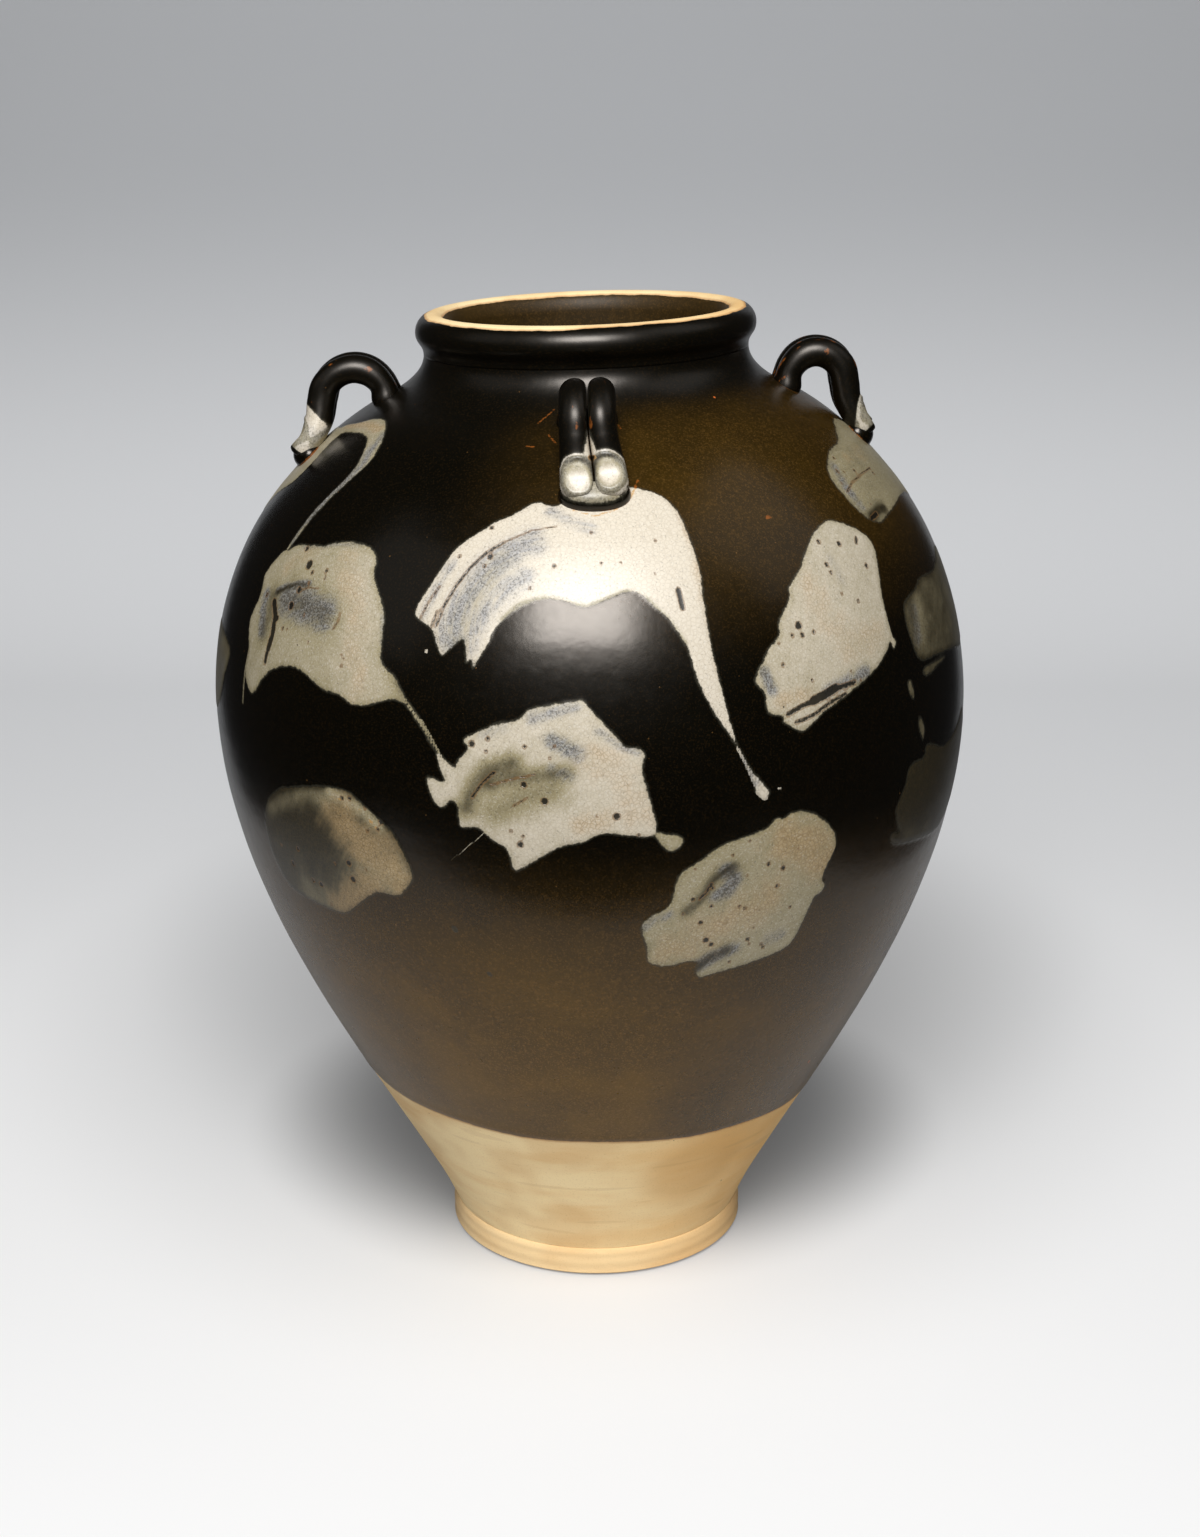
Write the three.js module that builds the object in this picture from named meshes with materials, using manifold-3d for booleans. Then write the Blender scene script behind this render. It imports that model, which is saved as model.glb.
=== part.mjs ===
// Stoneware storage jar with four double-strand lugs, thrown in sections and luted together.
// Millimetres, +Z up, the origin in the middle of the foot's underside, the photographed side towards -Y.
import * as THREE from "three";
import { mergeVertices } from "three/addons/utils/BufferGeometryUtils.js";
import Module from "manifold-3d";

const wasm = await Module();
wasm.setup();

// Rise of each stretch of the outer face, from the ground up
const FOOT_HEIGHT = 13;
const LOWER_WALL_RISE = 226;
const UPPER_BELLY_RISE = 88.3;
const SHOULDER_RISE = 34.3;
const NECK_RISE = 17.2;
const LIP_FLANK_RISE = 8.7;
const LIP_CREST_RISE = 7.5;

// Main outer radii
const FOOT_RADIUS = 63;
const BELLY_RADIUS = 153.2;
const THROAT_RADIUS = 64.6;

// How far the outline lies from those radii elsewhere
const FOOT_CREASE_INSET = 1.2;
const SHOULDER_TURN_INSET = 30.2;
const NECK_FLARE = 16.9;
const LIP_OVERHANG = 2.7;
const RIM_CREST_INSET = 7.3;
const MOUTH_LEDGE = 1;

// Foot edge
const FOOT_BEVEL_WIDTH = 3;
const FOOT_BEVEL_HEIGHT = 1.8;
const FOOT_TOP_ROUND = 0.6;

// Slopes of the thrown wall, in degrees
const FOOT_FLARE = 25.5;
const SHOULDER_TURN_SLOPE = 49.5;
const NECK_ROOT_SLOPE = 26.5;

// Reach of each curve's tangents: how full the wall is thrown
const LOWER_WALL_START_REACH = 66;
const LOWER_WALL_END_REACH = 85;
const UPPER_BELLY_REACH = 42;
const SHOULDER_TURN_REACH_BELOW = 21;
const SHOULDER_TURN_REACH_ABOVE = 21;
const NECK_ROOT_REACH_BELOW = 16;
const NECK_ROOT_REACH_ABOVE = 7;
const THROAT_REACH = 8;
const COLLAR_BORE_REACH = 13;

// Clay thickness
const WALL = 8;
const THROAT_WALL = 9.6;

// What the kiln did: the jar leans a little, and from just over the belly up it tilts
const LEAN = -4.2;
const MOUTH_TILT = 1.9;
const TILT_START_RISE = 11;

// Lugs: two coils side by side, arched over a finger hole
const LUG_AZIMUTHS = { front: -90, right: 0, back: 90, left: 180 };
const LUG_TURN = 0.5;
const LUG_SPANS = { front: 25.2, right: 23.2, back: 25, left: 25.8 };
const LUG_SEAT_INSET = 2.3;
const LUG_ARCH_RISE = 12.6;
const LUG_ARCH_POINTS = 6;
const LUG_SPRING_HEIGHT = 5.8;
const LUG_LEG_SPLAY = 2;
const LUG_KNEE_STANDOFF = 8;
const LUG_TOE_RUN = 7.5;
const LUG_TOE_STANDOFF = 3.2;
const LUG_TOE_DRIFT = 2.2;
const COIL_RADIUS = 5.75;
const COIL_FLAT = 4.4;
const COIL_OFFSET_AT_ARCH = 4.55;
const COIL_OFFSET_AT_TOE = 6.1;
const COIL_TOE_WIDTH = 1.12;
const COIL_TOE_THICKNESS = 0.9;
const COIL_SEAT_TAPER = 0.86;
const COIL_TAPER_LENGTH = 22;
const COIL_TIP = 0.45;
const PRESS_STARTS = 0.55;
const PRESS_ENDS = 0.95;
const COIL_STEPS = 18;
const COIL_SIDES = 9;

// Pressed clay pads that hold the lugs' lower ends
const PAD_HALF_WIDTH = 13.2;
const PAD_TOP = 7.2;
const PAD_NOTCH = 3.5;
const PAD_BOTTOM = 7.2;
const PAD_LOBE_REACH = 2.5;
const PAD_SIDE_REACH = 5;
const PAD_CHIN_REACH = 6.3;
const PAD_THICKNESS = 5.6;
const PAD_EDGE_ROUND = 1.8;
const PAD_EDGE_STEPS = 2;
const PAD_CURVE_STEPS = 7;

// Clearances, and how near two points are welded into one
const LUTE_GAP = 0.3;
const SEAT_GAP = 0.3;
const CUT_MARGIN = 3;
const WELD = 1e-4;

// Smoothness
const TURNS = 48;
const WALL_STEPS = 12;
const UPPER_BELLY_STEPS = 9;
const SHOULDER_STEPS = 6;
const NECK_STEPS = 5;
const LIP_FLANK_STEPS = 4;
const LIP_STEPS = 5;

// Heights and radii that follow from the sizes above
const BELLY_HEIGHT = FOOT_HEIGHT + LOWER_WALL_RISE;
const SHOULDER_TURN_HEIGHT = BELLY_HEIGHT + UPPER_BELLY_RISE;
const NECK_ROOT_HEIGHT = SHOULDER_TURN_HEIGHT + SHOULDER_RISE;
const THROAT_HEIGHT = NECK_ROOT_HEIGHT + NECK_RISE;
const LIP_EQUATOR_HEIGHT = THROAT_HEIGHT + LIP_FLANK_RISE;
const RIM_HEIGHT = LIP_EQUATOR_HEIGHT + LIP_CREST_RISE;
const TILT_START_HEIGHT = BELLY_HEIGHT + TILT_START_RISE;
const STANDING_RADIUS = FOOT_RADIUS - FOOT_BEVEL_WIDTH;
const FOOT_CREASE_RADIUS = FOOT_RADIUS - FOOT_CREASE_INSET;
const SHOULDER_TURN_RADIUS = BELLY_RADIUS - SHOULDER_TURN_INSET;
const NECK_ROOT_RADIUS = THROAT_RADIUS + NECK_FLARE;
const THROAT_BORE_RADIUS = THROAT_RADIUS - THROAT_WALL;
const LIP_RADIUS = THROAT_RADIUS + LIP_OVERHANG;
const RIM_CREST_RADIUS = LIP_RADIUS - RIM_CREST_INSET;
const MOUTH_RADIUS = THROAT_BORE_RADIUS - MOUTH_LEDGE;
const LUG_UPPER_SEAT_RADIUS = NECK_ROOT_RADIUS - LUG_SEAT_INSET;

const point = (radius, height) => new THREE.Vector2(radius, height);
const radians = THREE.MathUtils.degToRad;
const along = (from, direction, distance) => from.clone().addScaledVector(direction, distance);

// The throwing profile: the outer face from the foot's crease up to the rim
const straightUp = point(0, 1);
const footFlare = point(Math.sin(radians(FOOT_FLARE)), Math.cos(radians(FOOT_FLARE)));
const inwards = (slope) => point(-Math.cos(radians(slope)), Math.sin(radians(slope)));
const footCrease = point(FOOT_CREASE_RADIUS, FOOT_HEIGHT);
const belly = point(BELLY_RADIUS, BELLY_HEIGHT);
const shoulderTurn = point(SHOULDER_TURN_RADIUS, SHOULDER_TURN_HEIGHT);
const neckRoot = point(NECK_ROOT_RADIUS, NECK_ROOT_HEIGHT);
const throat = point(THROAT_RADIUS, THROAT_HEIGHT);
const turnDirection = inwards(SHOULDER_TURN_SLOPE);
const rootDirection = inwards(NECK_ROOT_SLOPE);

const lowerWallCurve = new THREE.CubicBezierCurve(
  footCrease,
  along(footCrease, footFlare, LOWER_WALL_START_REACH),
  along(belly, straightUp, -LOWER_WALL_END_REACH),
  belly,
);
const upperBellyCurve = new THREE.CubicBezierCurve(
  belly,
  along(belly, straightUp, UPPER_BELLY_REACH),
  along(shoulderTurn, turnDirection, -SHOULDER_TURN_REACH_BELOW),
  shoulderTurn,
);
const shoulderCurve = new THREE.CubicBezierCurve(
  shoulderTurn,
  along(shoulderTurn, turnDirection, SHOULDER_TURN_REACH_ABOVE),
  along(neckRoot, rootDirection, -NECK_ROOT_REACH_BELOW),
  neckRoot,
);
const neckCurve = new THREE.CubicBezierCurve(
  neckRoot,
  along(neckRoot, rootDirection, NECK_ROOT_REACH_ABOVE),
  along(throat, straightUp, -THROAT_REACH),
  throat,
);

// Points along a curve, each moved towards the outside of the wall by a distance
function offsetPoints(curve, steps, distance) {
  const points = [];
  for (let i = 0; i <= steps; i += 1) {
    const tangent = curve.getTangent(i / steps);
    points.push(along(curve.getPoint(i / steps), point(tangent.y, -tangent.x), distance));
  }
  return points;
}

// A stretch of wall between two curve parameters, so that a lute gap can be left at an end
function wallBetween(curves, steps, gapBelow, gapAbove) {
  const outer = curves.flatMap((curve, i) => offsetPoints(curve, steps[i], 0).slice(i ? 1 : 0));
  const inner = curves.flatMap((curve, i) => offsetPoints(curve, steps[i], -WALL).slice(i ? 1 : 0));
  const first = curves[0].getTangent(0);
  const last = curves[curves.length - 1].getTangent(1);
  outer[0].addScaledVector(first, gapBelow);
  inner[0].addScaledVector(first, gapBelow);
  outer[outer.length - 1].addScaledVector(last, -gapAbove);
  inner[inner.length - 1].addScaledVector(last, -gapAbove);
  return { outer, inner };
}

// A closed ring or disc turned round the jar's axis, as a solid
function turned(profile) {
  const lathe = new THREE.LatheGeometry(profile, TURNS);
  lathe.rotateX(Math.PI / 2);
  return solidFrom(lathe);
}

function solidFrom(geometry) {
  const bare = geometry.clone();
  bare.deleteAttribute("normal");
  bare.deleteAttribute("uv");
  const merged = mergeVertices(bare, WELD);
  return new wasm.Manifold(
    new wasm.Mesh({
      numProp: 3,
      vertProperties: merged.attributes.position.array,
      triVerts: new Uint32Array(merged.index.array),
    }),
  );
}

function closedRing(outer, inner) {
  const loop = [...outer, ...inner.slice().reverse()];
  loop.push(outer[0]);
  return turned(loop);
}

// Foot: a disc of clay with a near upright band, its lower edge cut back
const footDisc = turned([
  point(0, 0),
  point(STANDING_RADIUS, 0),
  point(FOOT_RADIUS, FOOT_BEVEL_HEIGHT),
  point(FOOT_RADIUS, FOOT_HEIGHT - LUTE_GAP - FOOT_TOP_ROUND),
  point(FOOT_RADIUS - FOOT_TOP_ROUND, FOOT_HEIGHT - LUTE_GAP),
  point(0, FOOT_HEIGHT - LUTE_GAP),
]);

// Lower wall: stands on the foot disc and opens to the belly
const lower = wallBetween([lowerWallCurve], [WALL_STEPS], 0, LUTE_GAP / 2);
lower.inner.unshift(point(lower.inner[0].x, FOOT_HEIGHT));
const lowerWall = closedRing(lower.outer, lower.inner);

// Shoulder wall: closes in from the belly to the neck's root
const upper = wallBetween(
  [upperBellyCurve, shoulderCurve],
  [UPPER_BELLY_STEPS, SHOULDER_STEPS],
  LUTE_GAP / 2,
  LUTE_GAP / 2,
);
const shoulderWall = closedRing(upper.outer, upper.inner);

// Neck: sweeps up out of the shoulder to the throat
const neckOuter = offsetPoints(neckCurve, NECK_STEPS, 0);
const neckInnerRoot = along(neckRoot, point(rootDirection.y, -rootDirection.x), -WALL);
const throatBore = point(THROAT_BORE_RADIUS, THROAT_HEIGHT);
const neckBoreCurve = new THREE.CubicBezierCurve(
  neckInnerRoot,
  along(neckInnerRoot, rootDirection, COLLAR_BORE_REACH),
  along(throatBore, straightUp, -COLLAR_BORE_REACH),
  throatBore,
);
const neckInner = neckBoreCurve.getPoints(NECK_STEPS);
for (const side of [neckOuter, neckInner]) {
  side[0].addScaledVector(rootDirection, LUTE_GAP / 2);
  side[NECK_STEPS].y -= LUTE_GAP / 2;
}
const neck = closedRing(neckOuter, neckInner);

// Lip: a rounded roll round the mouth, fuller outside than inside
const lipFlank = new THREE.CubicBezierCurve(
  point(THROAT_RADIUS, THROAT_HEIGHT + LUTE_GAP / 2),
  point(THROAT_RADIUS, (THROAT_HEIGHT + LIP_EQUATOR_HEIGHT) / 2),
  point(LIP_RADIUS, (THROAT_HEIGHT + LIP_EQUATOR_HEIGHT) / 2),
  point(LIP_RADIUS, LIP_EQUATOR_HEIGHT),
).getPoints(LIP_FLANK_STEPS);
const rollQuarter = (reach, from, to) =>
  new THREE.EllipseCurve(
    RIM_CREST_RADIUS,
    LIP_EQUATOR_HEIGHT,
    reach,
    RIM_HEIGHT - LIP_EQUATOR_HEIGHT,
    from,
    to,
  ).getPoints(LIP_STEPS);
const lipOver = rollQuarter(LIP_RADIUS - RIM_CREST_RADIUS, 0, Math.PI / 2);
const lipInside = rollQuarter(RIM_CREST_RADIUS - MOUTH_RADIUS, Math.PI / 2, Math.PI);
const lipFoot = point(THROAT_BORE_RADIUS, THROAT_HEIGHT + LUTE_GAP / 2);
const lipRoll = closedRing([...lipFlank, ...lipOver.slice(1), ...lipInside.slice(1)], [lipFoot]);

// The outline from belly to throat, moved outwards by a distance, for whatever is seated on it
function seatOutline(distance) {
  return [
    ...offsetPoints(upperBellyCurve, UPPER_BELLY_STEPS, distance),
    ...offsetPoints(shoulderCurve, SHOULDER_STEPS, distance).slice(1),
    ...offsetPoints(neckCurve, NECK_STEPS, distance).slice(1),
  ];
}

const shoulderOutline = seatOutline(0);

function shoulderHeightAt(radius) {
  const i = shoulderOutline.findIndex((p, n) => n > 0 && p.x <= radius);
  const below = shoulderOutline[i - 1];
  const above = shoulderOutline[i];
  return THREE.MathUtils.mapLinear(radius, below.x, above.x, below.y, above.y);
}

// Everything inside the jar's outer face plus the seat gap: what a lug is trimmed against
const seatTrimmer = turned([
  point(0, BELLY_HEIGHT),
  ...seatOutline(SEAT_GAP),
  point(0, THROAT_HEIGHT),
]);

// A coil's middle line in the lug's own plane: x is the distance from the jar's axis, y the height
function lugLine(span) {
  const springing = shoulderHeightAt(LUG_UPPER_SEAT_RADIUS + span / 2) + LUG_SPRING_HEIGHT;
  const middle = LUG_UPPER_SEAT_RADIUS + span / 2;
  const knee = LUG_UPPER_SEAT_RADIUS + span + LUG_LEG_SPLAY;
  const toe = knee + LUG_TOE_RUN;
  const arch = new THREE.EllipseCurve(middle, springing, span / 2, LUG_ARCH_RISE, Math.PI, 0, true);
  return new THREE.SplineCurve([
    point(LUG_UPPER_SEAT_RADIUS, shoulderHeightAt(LUG_UPPER_SEAT_RADIUS) - COIL_RADIUS),
    ...arch.getPoints(LUG_ARCH_POINTS),
    point(knee, shoulderHeightAt(knee) + LUG_KNEE_STANDOFF),
    point(toe, shoulderHeightAt(toe) + LUG_TOE_STANDOFF),
  ]);
}

// Section of one coil: a circle with a flat where it is pressed against its twin, grown by a margin
function coilSection(side, margin) {
  const radius = COIL_RADIUS + margin;
  const half = Math.acos((COIL_FLAT + margin) / radius);
  const arc = [];
  for (let i = 0; i <= COIL_SIDES; i += 1) {
    const angle = half + ((2 * Math.PI - 2 * half) * i) / COIL_SIDES;
    arc.push(point(-side * Math.cos(angle) * radius, Math.sin(angle) * radius));
  }
  return new THREE.Shape(side < 0 ? arc : arc.reverse());
}

// One coil: a straight roll bent over the lug line, spreading and flattening towards its rounded toe
function coilGeometry(span, side, margin) {
  const line = lugLine(span);
  const length = line.getLength();
  const roll = new THREE.ExtrudeGeometry(coilSection(side, margin), {
    depth: 1,
    steps: COIL_STEPS,
    bevelEnabled: false,
  });
  const position = roll.attributes.position;
  for (let i = 0; i < position.count; i += 1) {
    const t = position.getZ(i);
    const centre = line.getPointAt(t);
    const tangent = line.getTangentAt(t);
    const press = THREE.MathUtils.smoothstep(t, PRESS_STARTS, PRESS_ENDS);
    const fromToe = (1 - t) * length;
    const round = Math.sqrt(1 - Math.max(0, 1 - fromToe / COIL_RADIUS) ** 2);
    const close = THREE.MathUtils.lerp(COIL_TIP, 1, round);
    if (t === 1) centre.addScaledVector(tangent, margin);
    const seat = THREE.MathUtils.smoothstep(t * length, COIL_RADIUS, COIL_TAPER_LENGTH);
    const wide = THREE.MathUtils.lerp(1, COIL_TOE_WIDTH, press) * close;
    const flattened = THREE.MathUtils.lerp(1, COIL_TOE_THICKNESS, press);
    const thick = THREE.MathUtils.lerp(COIL_SEAT_TAPER, 1, seat) * flattened * close;
    const offset = THREE.MathUtils.lerp(COIL_OFFSET_AT_ARCH, COIL_OFFSET_AT_TOE, press);
    const out = position.getY(i) * thick;
    position.setXYZ(
      i,
      centre.x - tangent.y * out,
      side * offset + position.getX(i) * wide + LUG_TOE_DRIFT * press,
      centre.y + tangent.x * out,
    );
  }
  return roll;
}

// Pad outline: a blunt heart with its notch uphill, between the two coils
function padOutline() {
  const wide = PAD_HALF_WIDTH;
  const outline = new THREE.Shape();
  outline.moveTo(0, PAD_NOTCH);
  outline.bezierCurveTo(PAD_LOBE_REACH, PAD_TOP, wide, PAD_TOP, wide, 0);
  outline.bezierCurveTo(wide, -PAD_SIDE_REACH, PAD_CHIN_REACH, -PAD_BOTTOM, 0, -PAD_BOTTOM);
  outline.bezierCurveTo(-PAD_CHIN_REACH, -PAD_BOTTOM, -wide, -PAD_SIDE_REACH, -wide, 0);
  outline.bezierCurveTo(-wide, PAD_TOP, -PAD_LOBE_REACH, PAD_TOP, 0, PAD_NOTCH);
  return outline;
}

// The pad lies on the slope under the coils' toes, with its outer edge rounded
function padGeometry(span) {
  const pad = new THREE.ExtrudeGeometry(padOutline(), {
    depth: PAD_THICKNESS + CUT_MARGIN - 2 * PAD_EDGE_ROUND,
    bevelSize: PAD_EDGE_ROUND,
    bevelOffset: -PAD_EDGE_ROUND,
    bevelThickness: PAD_EDGE_ROUND,
    bevelSegments: PAD_EDGE_STEPS,
    curveSegments: PAD_CURVE_STEPS,
  });
  const middle = LUG_UPPER_SEAT_RADIUS + span + LUG_LEG_SPLAY + LUG_TOE_RUN / 2;
  const half = PAD_BOTTOM / 2;
  const slope = Math.atan2(shoulderHeightAt(middle - half) - shoulderHeightAt(middle + half), 2 * half);
  pad.translate(0, 0, PAD_EDGE_ROUND - CUT_MARGIN);
  pad.rotateZ(Math.PI / 2);
  pad.rotateY(slope);
  pad.translate(middle, LUG_TOE_DRIFT, shoulderHeightAt(middle));
  return pad;
}

// Lean and tilt of the fired jar, the same for every piece of it
function fired(x, y, z) {
  const tilt = Math.tan(radians(MOUTH_TILT)) * THREE.MathUtils.smoothstep(z, TILT_START_HEIGHT, RIM_HEIGHT);
  return [x + (LEAN * z) / RIM_HEIGHT, y, z + x * tilt];
}

function meshFrom(name, solid, material) {
  const { vertProperties, triVerts } = solid.getMesh();
  const geometry = new THREE.BufferGeometry();
  const position = new THREE.BufferAttribute(new Float32Array(vertProperties), 3);
  for (let i = 0; i < position.count; i += 1) {
    position.setXYZ(i, ...fired(position.getX(i), position.getY(i), position.getZ(i)));
  }
  geometry.setAttribute("position", position);
  geometry.setIndex(new THREE.BufferAttribute(new Uint32Array(triVerts), 1));
  geometry.computeVertexNormals();
  const mesh = new THREE.Mesh(geometry, material);
  mesh.name = name;
  return mesh;
}

const clay = (color, roughness) => new THREE.MeshStandardMaterial({ color, roughness, metalness: 0 });

const jar = new THREE.Group();
jar.add(
  meshFrom("foot_disc", footDisc, clay(0xdcb985, 0.85)),
  meshFrom("lower_wall", lowerWall, clay(0x3a2c1b, 0.4)),
  meshFrom("shoulder_wall", shoulderWall, clay(0x231a11, 0.3)),
  meshFrom("neck", neck, clay(0x1d150e, 0.3)),
  meshFrom("lip_roll", lipRoll, clay(0x1b140d, 0.3)),
);

// Each lug: left and right coil as seen from outside, and the pad pressed over their toes
for (const [name, azimuth] of Object.entries(LUG_AZIMUTHS)) {
  const span = LUG_SPANS[name];
  const turn = azimuth + LUG_TURN;
  let pad = solidFrom(padGeometry(span)).subtract(seatTrimmer.rotate([0, 0, -turn]));
  for (const [sideName, side] of [["left", -1], ["right", 1]]) {
    const coil = solidFrom(coilGeometry(span, side, 0)).subtract(seatTrimmer.rotate([0, 0, -turn]));
    pad = pad.subtract(solidFrom(coilGeometry(span, side, SEAT_GAP)));
    jar.add(meshFrom(`${name}_lug_${sideName}_coil`, coil.rotate([0, 0, turn]), clay(0x1c140d, 0.28)));
  }
  jar.add(meshFrom(`${name}_lug_pad`, pad.rotate([0, 0, turn]), clay(0xb9ab90, 0.35)));
}

export default jar;
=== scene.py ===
# A stoneware storage jar with four lugs: dark iron glaze, pale splashes, bare clay at rim and foot.
# Lengths are millimetres, as in the part's source, and become metres where a mesh is made.
import math

import bpy
import numpy as np
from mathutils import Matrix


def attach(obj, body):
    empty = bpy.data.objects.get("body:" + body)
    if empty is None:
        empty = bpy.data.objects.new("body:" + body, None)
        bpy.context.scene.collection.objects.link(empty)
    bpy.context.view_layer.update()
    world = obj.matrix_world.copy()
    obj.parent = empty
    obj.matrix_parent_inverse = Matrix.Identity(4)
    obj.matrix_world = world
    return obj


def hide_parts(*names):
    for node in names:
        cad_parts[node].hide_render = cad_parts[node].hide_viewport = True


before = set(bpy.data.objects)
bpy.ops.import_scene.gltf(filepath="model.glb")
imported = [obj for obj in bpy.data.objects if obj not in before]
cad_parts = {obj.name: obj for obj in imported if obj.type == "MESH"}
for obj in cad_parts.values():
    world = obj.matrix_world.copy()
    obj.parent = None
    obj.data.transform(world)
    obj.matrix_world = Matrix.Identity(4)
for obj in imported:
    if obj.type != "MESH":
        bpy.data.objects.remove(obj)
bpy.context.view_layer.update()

# Foot disc
# A flat disc of buff stoneware clay under the lower wall: an almost upright band, its lower edge
# cut back with a knife, wiped with wet fingers and left bare. Its underside shows the cutting wire.
MM = 0.001
RIM_HEIGHT = 395.0
LEAN = -4.2
MOUTH_TILT = 1.9
TILT_START_HEIGHT = 250.0
FOOT_HEIGHT = 13.0
FOOT_RADIUS = 63.0
STANDING_RADIUS = 60.0
FOOT_BEVEL_HEIGHT = 1.8
FOOT_TOP_ROUND = 0.6
FOOT_INSET = 0.22
FOOT_SAG_HEIGHT = 4.0
FOOT_SAG = 0.9
FINGER_MARK_DEPTH = 0.1
WIRE_MARK_SPACING = 5.2
WIRE_MARK_DEPTH = 0.22
WIRE_MARK_MARGIN = 6.0


def fired(x, y, z):
    """The lean and the tilt that the kiln gave every piece of the jar."""
    u = np.clip((z - TILT_START_HEIGHT) / (RIM_HEIGHT - TILT_START_HEIGHT), 0, 1)
    tilt = math.tan(math.radians(MOUTH_TILT)) * u * u * (3 - 2 * u)
    return x + LEAN * z / RIM_HEIGHT, y, z + x * tilt


class Signal:
    """One output of a node, in a finish or in Geometry Nodes. Arithmetic on it adds Math nodes."""

    def __init__(self, recipe, socket):
        self.recipe, self.socket = recipe, socket

    def maths(self, operation, *operands):
        return self.recipe.node("Math", {"operation": operation}, dict(enumerate(operands)))

    def __add__(self, other):
        return self.maths("ADD", self, other)

    def __sub__(self, other):
        return self.maths("SUBTRACT", self, other)

    def __rsub__(self, other):
        return self.maths("SUBTRACT", other, self)

    def __mul__(self, other):
        return self.maths("MULTIPLY", self, other)

    def __truediv__(self, other):
        return self.maths("DIVIDE", self, other)

    def __lt__(self, other):
        return self.maths("LESS_THAN", self, other)

    __radd__ = __add__
    __rmul__ = __mul__


class Recipe:
    """A finish, as a material whose nodes are added one by one."""

    def __init__(self, name):
        self.material = bpy.data.materials.new(name)
        self.material.use_nodes = True
        self.tree = self.material.node_tree
        self.surface = self.tree.nodes["Principled BSDF"]
        self.output = self.tree.nodes["Material Output"]
        here = {0: self.node("TexCoord", output="Object"), 1: (1 / MM,) * 3}
        self.place = self.node("VectorMath", {"operation": "MULTIPLY"}, here)

    def node(self, kind, settings=None, inputs=None, output=0):
        made = self.tree.nodes.new(kind if "Node" in kind else "ShaderNode" + kind)
        for name, value in (settings or {}).items():
            setattr(made, name, value)
        for name, value in (inputs or {}).items():
            self.feed(made.inputs[name], value)
        return Signal(self, made.outputs[output])

    def feed(self, socket, value):
        if isinstance(value, Signal):
            self.tree.links.new(value.socket, socket)
        else:
            socket.default_value = value

    def elsewhere(self, seed, stretch=(1, 1, 1)):
        """The place in the noise that a texture is cut from, so that no two of them are alike."""
        moved = {0: self.place, 1: stretch, 2: (31 * seed,) * 3}
        return self.node("VectorMath", {"operation": "MULTIPLY_ADD"}, moved)

    def axes(self, place):
        """The three coordinates of a place."""
        return [self.node("SeparateXYZ", None, {0: place}, output=i) for i in range(3)]

    def sine(self, value):
        return self.node("Math", {"operation": "SINE"}, {0: value})

    def mark(self, name):
        return self.node("Attribute", {"attribute_name": name}, output="Fac")

    def step(self, value, low, high):
        sizes = {"Value": value, "From Min": low, "From Max": high}
        return self.node("MapRange", {"interpolation_type": "SMOOTHSTEP"}, sizes)

    def cloud(self, size, detail=2.0, seed=0.0, stretch=(1, 1, 1)):
        """Noise whose features are about size millimetres across."""
        where = self.elsewhere(seed, stretch)
        sizes = {"Vector": where, "Scale": 1 / size, "Detail": detail, "Roughness": 0.55}
        return self.node("TexNoise", None, sizes)

    def blend(self, below, above, cover):
        return self.node("Mix", {"data_type": "RGBA"}, {0: cover, 6: below, 7: above}, output=2)

    def layered(self, colour, *layers):
        """A colour with others laid over it in turn, each with how far it covers what lies below."""
        for above, cover in layers:
            colour = self.blend(colour, above, cover)
        return colour

    def ragged(self, mark, size, seed, depth):
        """A mark whose edge is frayed by noise of a size, up to half a depth either way."""
        return self.mark(mark) + (self.cloud(size, 2, seed) - 0.5) * depth

    def dots(self, spacing, share, size, seed=0.0):
        """Round dots in a share of the cells, as a distance over the dot's edge: positive inside."""
        sizes = {"Vector": self.elsewhere(seed), "Scale": 1 / spacing}
        apart = self.node("TexVoronoi", None, sizes, output="Distance")
        chance = self.node("TexVoronoi", None, sizes, output="Color")
        luck = self.node("SeparateColor", None, {0: chance})
        girth = self.node("SeparateColor", None, {0: chance}, output=1)
        return (luck < share) * (size * (0.5 + girth) - apart * spacing)


def paint(red, green, blue):
    """A colour picked on a screen, 0 to 255, in the renderer's own linear scale."""
    screen = [c / 255 for c in (red, green, blue)]
    linear = [((c + 0.055) / 1.055) ** 2.4 if c > 0.04 else c / 12.92 for c in screen]
    return (*linear, 1.0)


# The middle of a patch above the foot that the flame toasted.
TOASTED_PATCH = (42, -76, 57)
# Colours of the bare clay: wiped thin and thick, toasted by the kiln, by the flame and in one patch,
# and its grit, iron specks and finger marks, and the painted shade on the foot.
PALE_BUFF = paint(254, 229, 178)
WARM_BUFF = paint(244, 209, 152)
TOAST = paint(206, 156, 92)
FLAME = paint(246, 192, 112)
FLARE = paint(214, 162, 90)
GRIT = paint(190, 152, 102)
CLAY_IRON = paint(92, 58, 34)
FINGERED = paint(186, 144, 92)
FOOT_PAINTED_SHADE = paint(196, 156, 108)


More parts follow.
